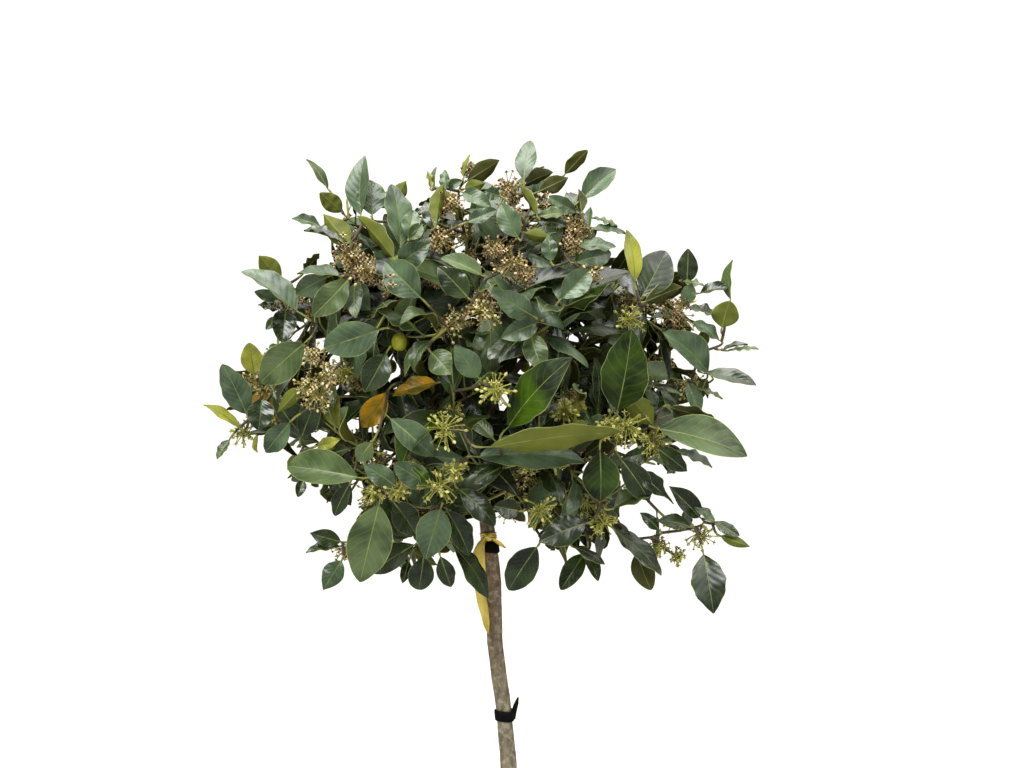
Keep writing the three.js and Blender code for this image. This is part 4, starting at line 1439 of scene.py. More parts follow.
    def grow_wood(self) -> None:
        """Grows each mass's stem, its shoots, and the side shoots on them."""
        tips, axes = self.tips(), self.crown.axes
        for index, axis in enumerate(axes):
            stream = Stream(811 + index * 37)
            foot = self.bough_route(index)[-1]
            top = CROWN_MIDDLE + axis * self.crown.reach_in(axis) * self.mass_stem_share
            self.mass_stems.append(np.linspace(foot, top, 8))
            places = [mix(foot, top, share) for share in self.forks_on_stem]
            own = [tip for tip in tips if int(np.argmax(axes @ tip[0])) == index]
            own.sort(key=lambda tip: tip[1] * (2 - float(tip[0] @ axis)))
            for direction, reach, inner in own:
                end = CROWN_MIDDLE + direction * reach
                number = self.nearest_place(end, direction, np.array(places))
                if self.in_space(end, index, 0.0015) and self.in_space(places[number], index, 0):
                    base = places.pop(number)
                    places += [mix(base, end, share) for share in self.forks_on_twig]
                    self.add_shoot(stream, base, end, inner)
            self.wood += list(self.mass_stems[-1])

    def add_shoot(self, stream: Stream, base: Points, end: Points, inner: bool) -> None:
        """Adds a shoot and its side shoots.

        Args:
            stream: where its form is drawn from.
            base: where it leaves the wood.
            end: its tip.
            inner: whether it stays inside the crown.
        """
        form, length = self.shoot_form, float(np.linalg.norm(end - base))
        blooms = 0 if inner or stream.draw() > self.blossom_share else 2
        turn = stream.draw() * 360
        knee = mix(base, end, self.shoot_knee) - UP * self.shoot_sag * length
        knee = knee + leaning(unit(end - base), 90, turn) * self.shoot_bow * length
        path = bend_through(base, knee, end, form.points)
        tone = Tone.DEEP if inner else self.tone_at(stream, end, True)
        shoot = Shoot(path, *form.radii, turn, form.leaves[inner], blooms, inner, tone)
        self.shoots.append(shoot)
        self.wood += list(path[2:])
        for number, share in enumerate(self.side_shoots):
            if length * (1 - share) >= self.side_room and length >= self.bare_length:
                foot = path[round(share * (form.points - 1))]
                way = leaning(shoot.axis, self.side_spread, turn + self.side_turn + number * GOLDEN_TURN)
                self.add_side_shoot(stream, shoot, foot, unit(way + UP * self.side_lift))

    def add_side_shoot(self, stream: Stream, shoot: Shoot, foot: Points, way: Points) -> None:
        """Adds a side shoot where it stays inside the crown's reach.

        Args:
            stream: where its form is drawn from.
            shoot: the shoot that it grows from.
            foot: where it leaves the shoot.
            way: the way that it grows.
        """
        form, tip = self.side_form, foot + way * stream.between(*self.side_length)
        out = tip - CROWN_MIDDLE
        if np.linalg.norm(out) > self.crown.reach_in(unit(out)) - self.side_inset * self.shoot_inset:
            return
        path = bend_through(foot, mix(foot, tip, 0.5) - UP * self.side_sag, tip, form.points)
        blooms = 1 if stream.draw() < self.side_blossom and not shoot.inner else 0
        turn, leaves = stream.draw() * 360, form.leaves[shoot.inner]
        self.shoots.append(Shoot(path, *form.radii, turn, leaves, blooms, shoot.inner, shoot.tone, 0.1))
        self.wood += list(path[1:])

    def carry(self, stream: Stream, end: Points, arriving: Points) -> None:
        """Grows a thin twig, with leaves where it is long, from the nearest wood to a place.

        Args:
            stream: where its form is drawn from.
            end: the place.
            arriving: the direction in which it arrives there.
        """
        form, places = self.carrier_form, np.array(self.wood)
        out = unit(end - CROWN_MIDDLE)
        base = places[self.nearest_place(end, unit(out + self.carrier_aim * arriving), places)]
        length = float(np.linalg.norm(end - base))
        if length > 0.001:
            path = bend_through(base, end - arriving * self.carrier_bend * length, end, form.points)
            leaves = min(form.leaves[0], int(length / self.carrier_spacing))
            tone, turn = self.tone_at(stream, end, False), stream.draw() * 360
            self.shoots.append(Shoot(path, *form.radii, turn, leaves, 0, False, tone, 0.7, self.carrier_spacing))
            self.wood += list(path[1:])

    def place_front(self) -> None:
        """Places the leaves and clusters with places of their own, each on its own twig."""
        stream = Stream(47)
        tables = {look: np.reshape(rows, (-1, 7)) for look, rows in PLACED_LEAVES.items()}
        placed = [PlacedLeaf.read(row, look) for look, rows in tables.items() for row in rows]
        for spot in sorted(placed, key=lambda spot: spot.foot[1], reverse=True):
            leaf = spot.leaf(stream)
            self.carry(stream, leaf.foot, leaf.direction)
            self.leaves.append(leaf)
            self.take(BLADE.outline(leaf))
        for ripeness, rows in PLACED_CLUSTERS.items():
            for row in np.reshape(rows, (-1, 4)) / MILLIMETRES:
                centre = row[:3] * FORWARD
                out = unit(centre - CROWN_MIDDLE)
                self.carry(stream, centre + out * 0.004, out)
                self.add_cluster(Cluster(centre, out, row[3], ripeness, FLOWER_FORMS[ripeness].flowers), True)
        for row in np.array(PLACED_BERRIES) / MILLIMETRES:
            centre, radius = row[:3] * FORWARD, row[3]
            self.carry(stream, centre + UP * radius * 0.9, -UP)
            self.berries.append((centre, radius))
            self.take(centre + BALL * radius)

    def take(self, points: Points) -> None:
        """Fills the room round points, and keeps what stands before them clear."""
        self.room.fill(points)
        self.room.show(points)

    def add_cluster(self, cluster: Cluster, shown: bool) -> None:
        """Adds a cluster and fills its room, which may be kept clear to see.

        Args:
            cluster: the cluster.
            shown: whether to keep it clear.
        """
        self.clusters.append(cluster)
        self.room.fill(cluster.centre + BALL * cluster.radius * 0.7)
        if shown:
            self.room.show(cluster.centre + BALL * cluster.radius * 0.85)

    def grow_blossom(self) -> None:
        """Puts clusters on the shoots that bloom, browner the higher they stand."""
        stream = Stream(613)
        for shoot in self.shoots:
            depth = self.bloom_depth_front if shoot.end[1] < self.front_from else self.bloom_depth
            for number in range(shoot.blooms):
                centre = shoot.back(depth + self.bloom_spacing * number)
                rise = (centre[2] - self.ripening[0]) / self.ripening[1] + stream.between(-0.35, 0.35)
                ripeness = Ripeness.BROWN if rise > 0.5 else Ripeness.TAN if rise > 0.15 else Ripeness.FRESH
                radius = stream.between(*self.bloom_radius)
                if self.room.free(centre[None]) and self.room.hides_nothing(centre[None]):
                    flowers = round(FLOWER_FORMS[ripeness].flowers * self.sparse)
                    self.add_cluster(Cluster(centre, shoot.axis, radius, ripeness, flowers), False)

    def grow_leaves(self) -> None:
        """Deals the leaves out, one place of each shoot's spiral after another."""
        stream = Stream(1201)
        for order in range(max(shoot.leaves for shoot in self.shoots)):
            for shoot in self.shoots:
                if order < shoot.leaves:
                    self.add_leaf(stream, shoot, order)

    def add_leaf(self, stream: Stream, shoot: Shoot, order: int) -> None:
        """Adds the leaf at one place of a shoot's spiral, turned on until it finds room.

        Args:
            stream: where its form is drawn from.
            shoot: the shoot.
            order: its place from the tip.
        """
        foot = shoot.back(min(order * shoot.spacing + 0.002, shoot.length * 0.92))
        share = order / max(1, shoot.leaves - 1)
        spread = mix(self.leaf_spread_tip, self.leaf_spread_foot, share**self.leaf_spread_curve)
        length = self.leaf_length + stream.between(-1, 1) * self.leaf_length_spread
        length *= mix(self.tip_leaf_share, 1.0, min(1.0, order / self.full_length_from))
        light = unit(foot - CROWN_MIDDLE) + UP * self.light_from_above
        outer = not shoot.inner and order < self.young_leaves
        tone = shoot.tone if stream.draw() < self.same_tone else self.tone_at(stream, foot, outer)
        tone = Tone.DEEP if tone is Tone.OLIVE and order > self.young_leaves else tone
        past = float(np.linalg.norm(shoot.end - CROWN_MIDDLE)) + self.past_shoot
        for attempt in range(self.leaf_tries):
            length *= 1 if attempt == 0 else self.shortest ** (1 / self.leaf_tries)
            direction = leaning(shoot.axis, spread, shoot.turn + order * GOLDEN_TURN + attempt * self.try_turn)
            tip = foot + direction * length - CROWN_MIDDLE
            over = float(np.linalg.norm(tip)) - max(self.crown.reach_in(unit(tip)) + self.crown.leaf_reach, past)
            if over > self.most_cut * length:
                continue
            leaf = Leaf.grown(stream, foot, direction, square_to(direction, light), length - max(0.0, over), tone)
            points, outline = BLADE.feelers(leaf), BLADE.outline(leaf)
            if self.room.free(points) and self.room.hides_nothing(outline) and self.room.within(outline):
                self.room.fill(points)
                self.leaves.append(leaf)
                return


@dataclass
class Boughs:
    """The short boughs from the stem's head, with their bark."""

    growth: Growth
    radius_foot: float = 0.0044
    radius_tip: float = 0.0029
    collar: float = 0.45  # how much thicker a bough is at the stem
    collar_share: float = 0.12  # of its length
    sides: int = 18
    rings: int = 60
    relief: Relief = Relief(31, ((0.016, 4, 0.0003), (0.005, 8, 0.00012)))

    def build(self, finish: BarkFinish) -> None:
        """Makes all boughs as one piece, in place of the solid ones.

        Args:
            finish: their finish.
        """
        sheaf, share = Sheaf("bough_bark"), np.linspace(0, 1, self.rings)
        radii = mix(self.radius_foot, self.radius_tip, share) * (1 + self.collar * np.exp(-share / self.collar_share))
        for index in range(len(MASSES)):
            path = self.growth.bough_route(index, self.rings)
            rings = tube(path, radii, self.sides)
            level, around = np.meshgrid(share * 0.1 + index * 0.13, circle(self.sides), indexing="ij")
            out = self.relief.at(level, around) / radii[:, None]
            rings += (rings - path[:, None]) * out[..., None]
            sheaf.add(rings[None], closed=True)
        sheaf.build([finish], "bark", BOUGHS)


@dataclass
class Twigs:
    """The twigs: dark brown-grey where they are woody, part their own colour and part painted shade, green towards
    their tips.
    """

    growth: Growth
    sides: int = 6
    mass_radii: Span = (0.0029, 0.0019)
    bud: Span = (0.003, 0.0002)  # how far a twig's end reaches past its tip, and its radius there

    def build(self, bark: BarkFinish, green: StalkFinish) -> None:
        """Makes the woody and the green twigs.

        Args:
            bark: the finish of woody twigs.
            green: the finish of green ones.
        """
        woody, young = Sheaf("twigs_woody"), Sheaf("twigs_green")
        for path in self.growth.mass_stems:
            woody.add(tube(path, np.linspace(*self.mass_radii, len(path)), self.sides)[None], closed=True)
        for shoot in self.growth.shoots:
            radii = np.linspace(shoot.foot_radius, shoot.tip_radius, len(shoot.path))
            cut = round(shoot.green_from * (len(radii) - 1))
            if cut:
                woody.add(tube(shoot.path[: cut + 1], radii[: cut + 1], self.sides)[None], closed=True)
            path = np.concatenate([shoot.path[cut:], [shoot.end + shoot.axis * self.bud[0]]])
            ends = np.concatenate([radii[cut:], [self.bud[1]]])
            young.add(tube(path, ends, self.sides)[None], paleness=0.3 + 0.4 * shoot.green_from, closed=True)
        woody.build([bark], "bark", FOLIAGE)
        young.build([green], "foliage", FOLIAGE)


@dataclass
class Foliage:
    """The leaves, joined into one piece for each of their looks."""

    growth: Growth
    rib: StalkFinish
    edge: StalkFinish

    def build(self, tone: Tone, blade: BladeFinish, under: UndersideFinish) -> None:
        """Makes all leaves of one look.

        Args:
            tone: the look.
            blade: the finish of the upper faces.
            under: the finish of the lower faces.
        """
        sheaf = Sheaf(f"leaves_{tone.value}")
        for form, fine in ((BLADE, False), (FINE_BLADE, True)):
            leaves = [leaf for leaf in self.growth.leaves if leaf.tone is tone and leaf.fine is fine]
            if leaves:
                pale = np.array([leaf.paleness for leaf in leaves])
                upper, lower = form.whole(leaves)
                flat = self.flat(form, len(leaves))
                sheaf.add(upper, [2, 0, 0, 1, 0, 0, 2], pale, flat=flat)
                sheaf.add(lower, [2, 3, 3, 1, 3, 3, 2], pale, turned=True, flat=flat)
                sheaf.add(form.stalks(leaves), 1, pale, closed=True)
        sheaf.build([blade, self.rib, self.edge, under], "foliage", FOLIAGE)

    def flat(self, form: BladeForm, count: int) -> Points:
        """Each point's place along and across its blade, from 0 to 1, for a count of blades."""
        grid = np.meshgrid(np.array(form.stations), np.array(form.lines()) / 2 + 0.5, indexing="ij")
        return np.broadcast_to(np.stack(grid, -1), (count, *grid[0].shape, 2))


@dataclass
class Blossom:
    """Clusters of small stalked flowers: round buds and open four-lobed stars."""

    growth: Growth
    jitter: Span = (40.0, 14.0)  # degrees round the cluster's axis and up it
    along_twig: float = 0.3  # of the stalks' feet, in the cluster's radii
    stalk_length: Span = (1.06, 0.72)  # the longest, and how much shorter the shortest, likewise
    stalk_sag: float = 0.08
    stalk_widths: Shares = (1.3, 0.9, 1.1)
    # Rings of a bud, and of an open flower's centre: how far along, and how wide.
    bud_rings: Rows = ((-0.05, 0.25), (0.25, 0.9), (0.62, 0.95), (1.0, 0.15))
    dome_rings: Rows = ((0.1, 1.0), (0.9, 0.85), (1.25, 0.1))
    lobe_rise: float = 0.35

    def heads(self, clusters: list[Cluster], stream: Stream) -> tuple[Points, Points, Points, Points]:
        """Where the flowers of clusters stand.

        Args:
            clusters: the clusters.
            stream: where their places are drawn from.

        Returns:
            The foot, direction and stalk length of each flower, and whether it is an open star.
        """
        feet, ways, lengths, stars = [], [], [], []
        for cluster in clusters:
            start, (side, other) = stream.draw() * 360, cross_frame(cluster.axis)
            for number in range(cluster.flowers):
                rise = math.degrees(math.asin(1 - (2 * number + 1) / cluster.flowers)) * 0.9
                aside, up = (stream.between(-most, most) for most in self.jitter)
                way = heading(start + number * GOLDEN_TURN + aside, rise + up)
                ways.append(unit(side * way[0] + other * way[1] + cluster.axis * (way[2] * 0.8 + 0.15)))
                along = stream.between(-self.along_twig, self.along_twig)
                feet.append(cluster.centre + cluster.axis * along * cluster.radius)
                lengths.append(cluster.radius * (self.stalk_length[0] - self.stalk_length[1] * stream.draw()))
                stars.append(stream.draw() < FLOWER_FORMS[cluster.ripeness].open_share)
        return np.array(feet), np.array(ways), np.array(lengths)[:, None], np.array(stars)

    def build(self, ripeness: Ripeness, finishes: list[Finish]) -> None:
        """Makes all clusters of one age.

        Args:
            ripeness: the age.
            finishes: those of the stalks, of buds and lobes, and of the flowers' centres.
        """
        stream, form = Stream(71 + len(ripeness.value)), FLOWER_FORMS[ripeness]
        clusters = [cluster for cluster in self.growth.clusters if cluster.ripeness is ripeness]
        foot, way, length, star = self.heads(clusters, stream)
        frames = np.array([cross_frame(direction) for direction in way])
        pale = np.random.default_rng(9).random(len(foot))
        sheaf = Sheaf(f"blossom_{ripeness.value}")
        head = foot + way * length - UP * length * self.stalk_sag
        middle = foot + way * length * 0.55
        stalks = self.rings([foot, middle, head], frames, self.stalk_widths, 3, form.stalk_radius)
        sheaf.add(stalks, 0, pale, closed=True)
        bud, (share, width) = ~star, zip(*self.bud_rings)
        spots = [head[bud] + way[bud] * form.bud_length * along for along in share]
        sheaf.add(self.rings(spots, frames[bud], width, 6, form.bud_width / 2), 1, pale[bud], closed=True)
        sheaf.add(self.stars(form, head[star], way[star], frames[star]), 1, pale[star], closed=True)
        share, width = zip(*self.dome_rings)
        spots = [head[star] + way[star] * form.centre_radius * along for along in share]
        sheaf.add(self.rings(spots, frames[star], width, 5, form.centre_radius), 2, pale[star], closed=True)
        sheaf.build(finishes, "foliage", FOLIAGE)

    def spokes(self, frames: Points, count: int) -> Points:
        """Unit vectors evenly round each flower's direction, by flower and spoke."""
        turn = -circle(count)[:, None]
        return frames[:, 0, None] * np.cos(turn) + frames[:, 1, None] * np.sin(turn)

    def rings(self, centres: list[Points], frames: Points, widths: Shares, sides: int, radius: float) -> Points:
        """Round bodies, one for each flower, as rings of points.

        Args:
            centres: the middles of each ring, for all flowers.
            frames: two vectors square to each flower's direction.
            widths: each ring's radius, in shares of radius.
            sides: the number of points in a ring.
            radius: the radius at a width of 1.

        Returns:
            The points by flower, ring and place in the ring.
        """
        round_it = self.spokes(frames, sides)
        return np.stack([centre[:, None] + round_it * radius * width for centre, width in zip(centres, widths)], 1)

    def stars(self, form: FlowerForm, head: Points, way: Points, frames: Points) -> Points:
        """The lobes of open flowers, four to each, bent back a little at their tips.

        Args:
            form: their form.
            head: where each flower's stalk ends.
            way: the flowers' directions.
            frames: two vectors square to each direction.

        Returns:
            The points by flower, ring and place in the ring.
        """
        round_it, base, way = self.spokes(frames, 8), head[:, None], way[:, None]
        lobe = np.where(np.arange(8) % 2 == 0, form.star_reach, form.star_notch)[None, :, None]
        rows = [base - way * 0.0006 + round_it * 0.0003, base + round_it * form.centre_radius]
        rows += [base + round_it * lobe + way * (lobe - form.star_notch) * self.lobe_rise]
        return np.stack(rows, 1)


@dataclass
class Berries:
    """The unripe berries: smooth, longish, with a small dark navel at the lower end."""

    growth: Growth
    length: float = 1.25  # as a share of the width
    sides: int = 20
    rings: int = 15
    dent: float = 0.14  # round the navel, as a share of the radius
    navel: tuple[float, float, float] = (0.16, 0.16, 0.12)
    navel_depth: float = 0.93

    def build(self, skin: StalkFinish, navel: StalkFinish) -> None:
        """Makes all berries.

        Args:
            skin: the finish of the skin.
            navel: the finish of the navel.
        """
        rise, turn = ball_turns(self.rings, self.sides)
        flat = np.cos(rise)
        ball = np.stack([flat * np.cos(turn), flat * np.sin(turn), self.length * np.sin(rise)], -1)
        ball[..., 2] += self.dent * np.exp(-((1 + np.sin(rise)) * 14))
        sheaf = Sheaf("berries")
        for centre, radius in self.growth.berries:
            sheaf.add((centre + ball * radius)[None], closed=True, turned=True)
            knob = ball * radius * np.array(self.navel) - UP * self.length * radius * self.navel_depth
            sheaf.add((centre + knob)[None], 1, closed=True, turned=True)
        sheaf.build([skin, navel], "foliage", FOLIAGE)


@dataclass
class TieStrap:
    """A black strap round the stem, with a free end where it has one."""

    name: str
    stem: Stem
    height: float
    width: float
    end_length: float = 0.0
    thickness: float = 0.0014
    arch: float = 1.12  # of the outer face's middle, in thicknesses
    rounding: float = 0.35  # of the edges, likewise
    waver: float = 0.0005  # how far the band lies above and below its height
    gap: float = 0.0003
    end_width: float = 0.0075
    end_tilt: float = 14.0  # degrees out from the stem
    end_turn: float = 52.0  # degrees from the stem to the viewer, of its flat side
    end_point: float = 0.35  # share of the end's length that is pointed

    def section(self) -> Points:
        """The band's section.

        Returns:
            How far each of its points stands out and up.
        """
        half, out = self.width / 2, self.thickness * self.arch
        right = [(0.0, 0.0), (self.thickness * 0.7, 0.0), (self.thickness, self.thickness * self.rounding)]
        low = [(out, up - half) for out, up in right]
        middle = [(out, -half * 0.35), (out, half * 0.35)]
        return np.array(low + middle + [(out, half - up) for out, up in reversed(right)])

    def band(self) -> Points:
        """The band, from one turn round the stem.

        Returns:
            Its points by turn and place in the section.
        """
        turn, section = np.linspace(0, FULL_TURN, 73), self.section()
        level = self.height + section[None, :, 1] + self.waver * np.sin(turn * 2)[:, None]
        around = np.broadcast_to(turn[:, None], level.shape)
        return self.stem.stand_out(level, around, self.stem.radius(level, around) + self.gap + section[None, :, 0])

    def free_end(self) -> Points:
        """The free end, from below the band to its pointed tip.

        Returns:
            Its points by ring and place in the ring.
        """
        share = np.linspace(0, 1, 14)
        tilt, turn = math.radians(self.end_tilt), math.radians(self.end_turn)
        right = self.stem.radius(self.height) + self.gap + self.thickness * 0.8
        base = self.stem.axis(self.height) + np.array([right, -0.001, 0])
        rise = share * self.end_length - self.width * 0.45
        path = base + np.stack([np.tan(tilt) * rise * (0.6 + 0.4 * share), -0.0015 * share, rise], -1)
        across = np.array([math.cos(turn), math.sin(turn), 0.0])
        out = np.array([math.sin(turn), -math.cos(turn), 0.0])
        half = self.end_width / 2 * np.minimum(1, (1.02 - share) / self.end_point) ** 0.8
        corners = [(-1, -0.5), (1, -0.5), (1, 0.5), (0, 0.62), (-1, 0.5)]
        return np.stack([path + across * (half * x)[:, None] + out * self.thickness * y for x, y in corners], 1)

    def build(self, finish: StrapFinish) -> None:
        """Makes the strap, in place of the solid one.

        Args:
            finish: its finish.
        """
        sheaf = Sheaf(f"{self.name}_rubber")
        sheaf.add(self.band()[None], turned=True)
        if self.end_length:
            sheaf.add(self.free_end()[None], closed=True)
        sheaf.build([finish], "strap", [self.name])


@dataclass
class LabelRibbon:
    """A plain yellow ribbon: a band round the stem, a knot, a long tail and a short end."""

    stem: Stem
    height: float = 0.780
    band_width: float = 0.006
    thickness: float = 0.0005
    stand_off: float = 0.0022  # of the band and knot, from the stem
    # Point by point: how far right of the knot, how far below it, the width and the turn to the viewer.
    tail: Rows = (
        (-0.001, 0.000, 0.005, 20), (-0.007, 0.006, 0.009, -25), (-0.0098, 0.017, 0.015, -30),
        (-0.0100, 0.031, 0.0145, -12), (-0.0092, 0.045, 0.0135, 15), (-0.0080, 0.058, 0.012, 30),
        (-0.0060, 0.070, 0.0105, 12), (-0.0035, 0.082, 0.009, -18), (-0.0018, 0.093, 0.006, 0),
        (-0.0004, 0.101, 0.0008, 10),
    )  # fmt: skip
    short_end: Rows = (
        (0.001, 0.000, 0.004, 0), (0.006, 0.002, 0.006, -30), (0.011, 0.006, 0.0065, 10),
        (0.015, 0.010, 0.005, 30), (0.018, 0.012, 0.001, 0),
    )  # fmt: skip
    knot_size: tuple[float, float, float] = (0.0042, 0.0026, 0.0038)  # from its middle, across, forward and up
    crease: float = 0.0006
    lines: int = 9  # of points across the ribbon

    def front(self) -> Points:
        """The middle of the knot."""
        out = -float(self.stem.radius(self.height)) - self.stand_off
        return self.stem.axis(self.height) + np.array([0.0, out, 0.0])

    def strip(self, plan: Rows, count: int) -> Points:
        """The points of a strip that hangs from the knot, with creases along it.

        Args:
            plan: the strip's plan, point by point.
            count: how many rows of points it gets.

        Returns:
            The points by row and place round the strip.
        """
        table, share = np.array(plan), np.linspace(0, 1, count)
        right, down, width, turn = (self.smooth(share, table[:, column]) for column in range(4))
        turn = np.radians(turn)
        centre = self.front() + np.stack([right, -0.0006 - 0.002 * np.sin(share * 5), -down], -1)
        across = np.stack([np.cos(turn), np.sin(turn), 0 * turn], -1)
        out = np.stack([np.sin(turn), -np.cos(turn), 0 * turn], -1)
        line = np.linspace(-1, 1, self.lines)[None]
        wave = np.cos(line * 4.2 + share[:, None] * 9)
        crease = self.crease * wave * np.minimum(1, width[:, None] / self.band_width)
        sheet = centre[:, None] + across[:, None] * (line * width[:, None] / 2)[..., None]
        front = sheet + out[:, None] * (crease + self.thickness / 2)[..., None]
        back = sheet + out[:, None] * (crease - self.thickness / 2)[..., None]
        return np.concatenate([front, back[:, ::-1]], 1)

    def smooth(self, share: Points, values: Points) -> Points:
        """Values read off a smooth curve through the plan's points.

        Args:
            share: how far along the plan to read, from 0 to 1.
            values: the plan's values.

        Returns:
            The value at each share.
        """
        place = share * (len(values) - 1)
        low = np.minimum(place.astype(int), len(values) - 2)
        t = place - low
        before, after = values[np.maximum(low - 1, 0)], values[np.minimum(low + 2, len(values) - 1)]
        start, end = values[low], values[low + 1]
        slope, slope_end = (end - before) / 2, (after - start) / 2
        from_start = start * (1 + 2 * t) * (1 - t) ** 2 + slope * t * (1 - t) ** 2
        return from_start + end * t * t * (3 - 2 * t) + slope_end * t * t * (t - 1)

    def band(self) -> Points:
        """The band, gathered in folds round the stem.

        Returns:
            Its points by turn and place in the section.
        """
        turn, line = np.linspace(0, FULL_TURN, 73), np.linspace(-1, 1, self.lines)
        up = line * self.band_width / 2
        outward = 0.0006 + 0.0005 * np.cos(line * 7)
        up, outward = np.concatenate([up, up[::-1]]), np.concatenate([outward + self.thickness, outward[::-1]])
        level = self.height + up[None] * (1 + 0.12 * np.sin(3 * turn))[:, None] + 0.001 * np.cos(turn + 1)[:, None]
        around = np.broadcast_to(turn[:, None], level.shape)
        return self.stem.stand_out(level, around, self.stem.radius(level, around) + outward[None])

    def knot(self) -> Points:
        """The knot, a creased lump at the front.

        Returns:
            Its points by ring and place in the ring.
        """
        level, around = ball_turns(15, 24)
        swell = 1 + 0.13 * np.sin(3 * around + 4 * level) + 0.07 * np.sin(7 * around - 3 * level)
        right, back, up = self.knot_size
        flat = np.cos(level)
        ball = np.stack([right * flat * np.cos(around), back * flat * np.sin(around), up * np.sin(level)], -1)
        return self.front() + ball * swell[..., None]

    def ends(self) -> list[Points]:
        """The points of the tail and of the short end."""
        return [self.strip(self.tail, 60), self.strip(self.short_end, 24)]

    def build(self, finish: RibbonFinish) -> None:
        """Makes the ribbon, in place of the solid one.

        Args:
            finish: its finish.
        """
        sheaf = Sheaf("label_ribbon_cloth")
        for part in (self.band(), self.knot()):
            sheaf.add(part[None], closed=True, turned=True)
        for part in self.ends():
            sheaf.add(part[None], closed=True)
        sheaf.build([finish], "ribbon", ["label_ribbon"])


@dataclass
class Studio:
    """The pale floor, soft light from all round and above, and the camera of the front view."""

    lens: float = 43.53
    sensor: float = 36.0
    floor_half_width: float = 30.0
    sky_colour: Colour = (1.0, 0.985, 0.93, 1.0)
    zenith: float = 1.9  # how bright the light from straight above is
    horizon: float = 0.21
    dusk: float = 0.25  # up to where it is no brighter than at the horizon
    backdrop: float = 1.12
    # The lamps: where each hangs, the length of its sides and its power in watts.
    lamps: tuple[tuple[str, Colour, float, float], ...] = (
        ("key_light", (-0.8, -1.2, 2.6), 1.5, 54.0),
        ("top_light", (0.2, 0.1, 2.9), 1.3, 16.0),
        ("side_light", (1.5, -1.1, 1.9), 0.9, 9.0),
    )

    def build(self, finish: Finish) -> None:
        """Makes the floor, the light and the camera.

        Args:
            finish: the floor's finish.
        """
        mesh = bpy.data.meshes.new("floor")
        half = self.floor_half_width
        mesh.from_pydata([(-half, -half, 0), (half, -half, 0), (half, half, 0), (-half, half, 0)], [], [(0, 1, 2, 3)])
        mesh.materials.append(finish.material())
        floor = self.put("floor", mesh)
        floor.visible_glossy = False
        self.light_sky()
        for lamp in self.lamps:
            self.hang_lamp(*lamp)
        camera = self.put("camera", bpy.data.cameras.new("camera"))
        camera.data.lens, camera.data.sensor_width, camera.data.clip_end = self.lens, self.sensor, 200.0
        camera.location, camera.rotation_euler = EYE, (math.pi / 2, 0, 0)
        scene = bpy.context.scene
        scene.camera, scene.view_settings.view_transform, scene.view_settings.look = camera, "Standard", "None"

    def put(self, name: str, data: bpy.types.ID) -> bpy.types.Object:
        """Puts a mesh, a lamp or a camera into the scene under a name of its own."""
        bpy.context.scene.collection.objects.link(bpy.data.objects.new(name, data))
        return bpy.data.objects[name]

    def light_sky(self) -> None:
        """Lights the scene from all round, the brighter the higher."""
        world = bpy.data.worlds.new("sky")
        bench = NodeBench(world, "BACKGROUND")
        height = bench.apart(bench.add("ShaderNodeTexCoord").outputs["Generated"])["Z"]
        steps = {"Value": height, "From Min": self.dusk, "To Min": self.horizon, "To Max": self.zenith}
        rise = bench.add("ShaderNodeMapRange", steps, interpolation_type="SMOOTHSTEP").outputs["Result"]
        seen = bench.add("ShaderNodeLightPath").outputs["Is Camera Ray"]
        strength = bench.add("ShaderNodeMix", {0: seen, 2: rise, 3: self.backdrop}).outputs[0]
        bench.set(Color=self.sky_colour, Strength=strength)
        bpy.context.scene.world = world

    def hang_lamp(self, name: str, place: Colour, size: float, power: float) -> None:
        """Hangs a square soft light that looks at the crown.

        Args:
            name: its name.
            place: where it hangs.
            size: the length of its sides.
            power: its power in watts.
        """
        light = bpy.data.lights.new(name, "AREA")
        light.shape, light.size, light.energy = "SQUARE", size, power
        look = CROWN_MIDDLE - np.array(place)
        away, rise = math.atan2(look[1], look[0]), math.atan2(look[2], math.hypot(look[0], look[1]))
        lamp = self.put(name, light)
        lamp.location, lamp.rotation_euler = place, (rise + math.pi / 2, 0, away - math.pi / 2)


UNDERSIDE = UndersideFinish("leaf_underside", rgb(38, 40, 6), rgb(74, 74, 20))
UNDERSIDES = {
    Tone.SHADE: UndersideFinish("shade_leaf_underside", rgb(28, 32, 6), rgb(58, 60, 16)),
    Tone.OLIVE: UndersideFinish("young_leaf_underside", rgb(68, 74, 9), rgb(106, 112, 29)),
    Tone.OLD: UndersideFinish("old_leaf_underside", rgb(118, 84, 12), rgb(158, 122, 30)),
}
LEAVES = {
    Tone.SHADE: BladeFinish("shade_leaf", rgb(14, 24, 9), rgb(31, 45, 20), rgb(51, 65, 34)),
    Tone.DEEP: BladeFinish("deep_leaf", rgb(19, 32, 11), rgb(50, 68, 30), rgb(74, 90, 46), 0.27, 0.8, 0.3),
    Tone.MID: BladeFinish("mid_leaf", rgb(34, 50, 18), rgb(86, 104, 61), rgb(124, 140, 92), 0.34, 0.45, 0.1),
    # Painted sheen: these pale blue-grey greens stand in for the sky's reflection on the leaves.
    Tone.BLUE: BladeFinish("blue_painted_sheen_leaf", rgb(50, 68, 45), rgb(90, 112, 78), rgb(124, 145, 108), 0.32, 0.55, 0.2),
    Tone.BRIGHT: BladeFinish("bright_leaf", rgb(8, 22, 0), rgb(53, 80, 0), rgb(96, 120, 30), 0.34, 0.45, 0.1),
    Tone.OLIVE: BladeFinish("young_leaf", rgb(96, 100, 16), rgb(154, 156, 52), rgb(178, 180, 90), 0.36, 0.4),
    Tone.OLD: BladeFinish("old_leaf", rgb(96, 80, 6), rgb(232, 172, 14), rgb(218, 178, 58), shine=0.3, wax=0.0),
}
RIB = StalkFinish("leaf_rib", rgb(72, 90, 38), rgb(130, 142, 76), roughness=0.4)
EDGE = StalkFinish("leaf_edge", rgb(88, 102, 46), rgb(154, 162, 94), roughness=0.45)
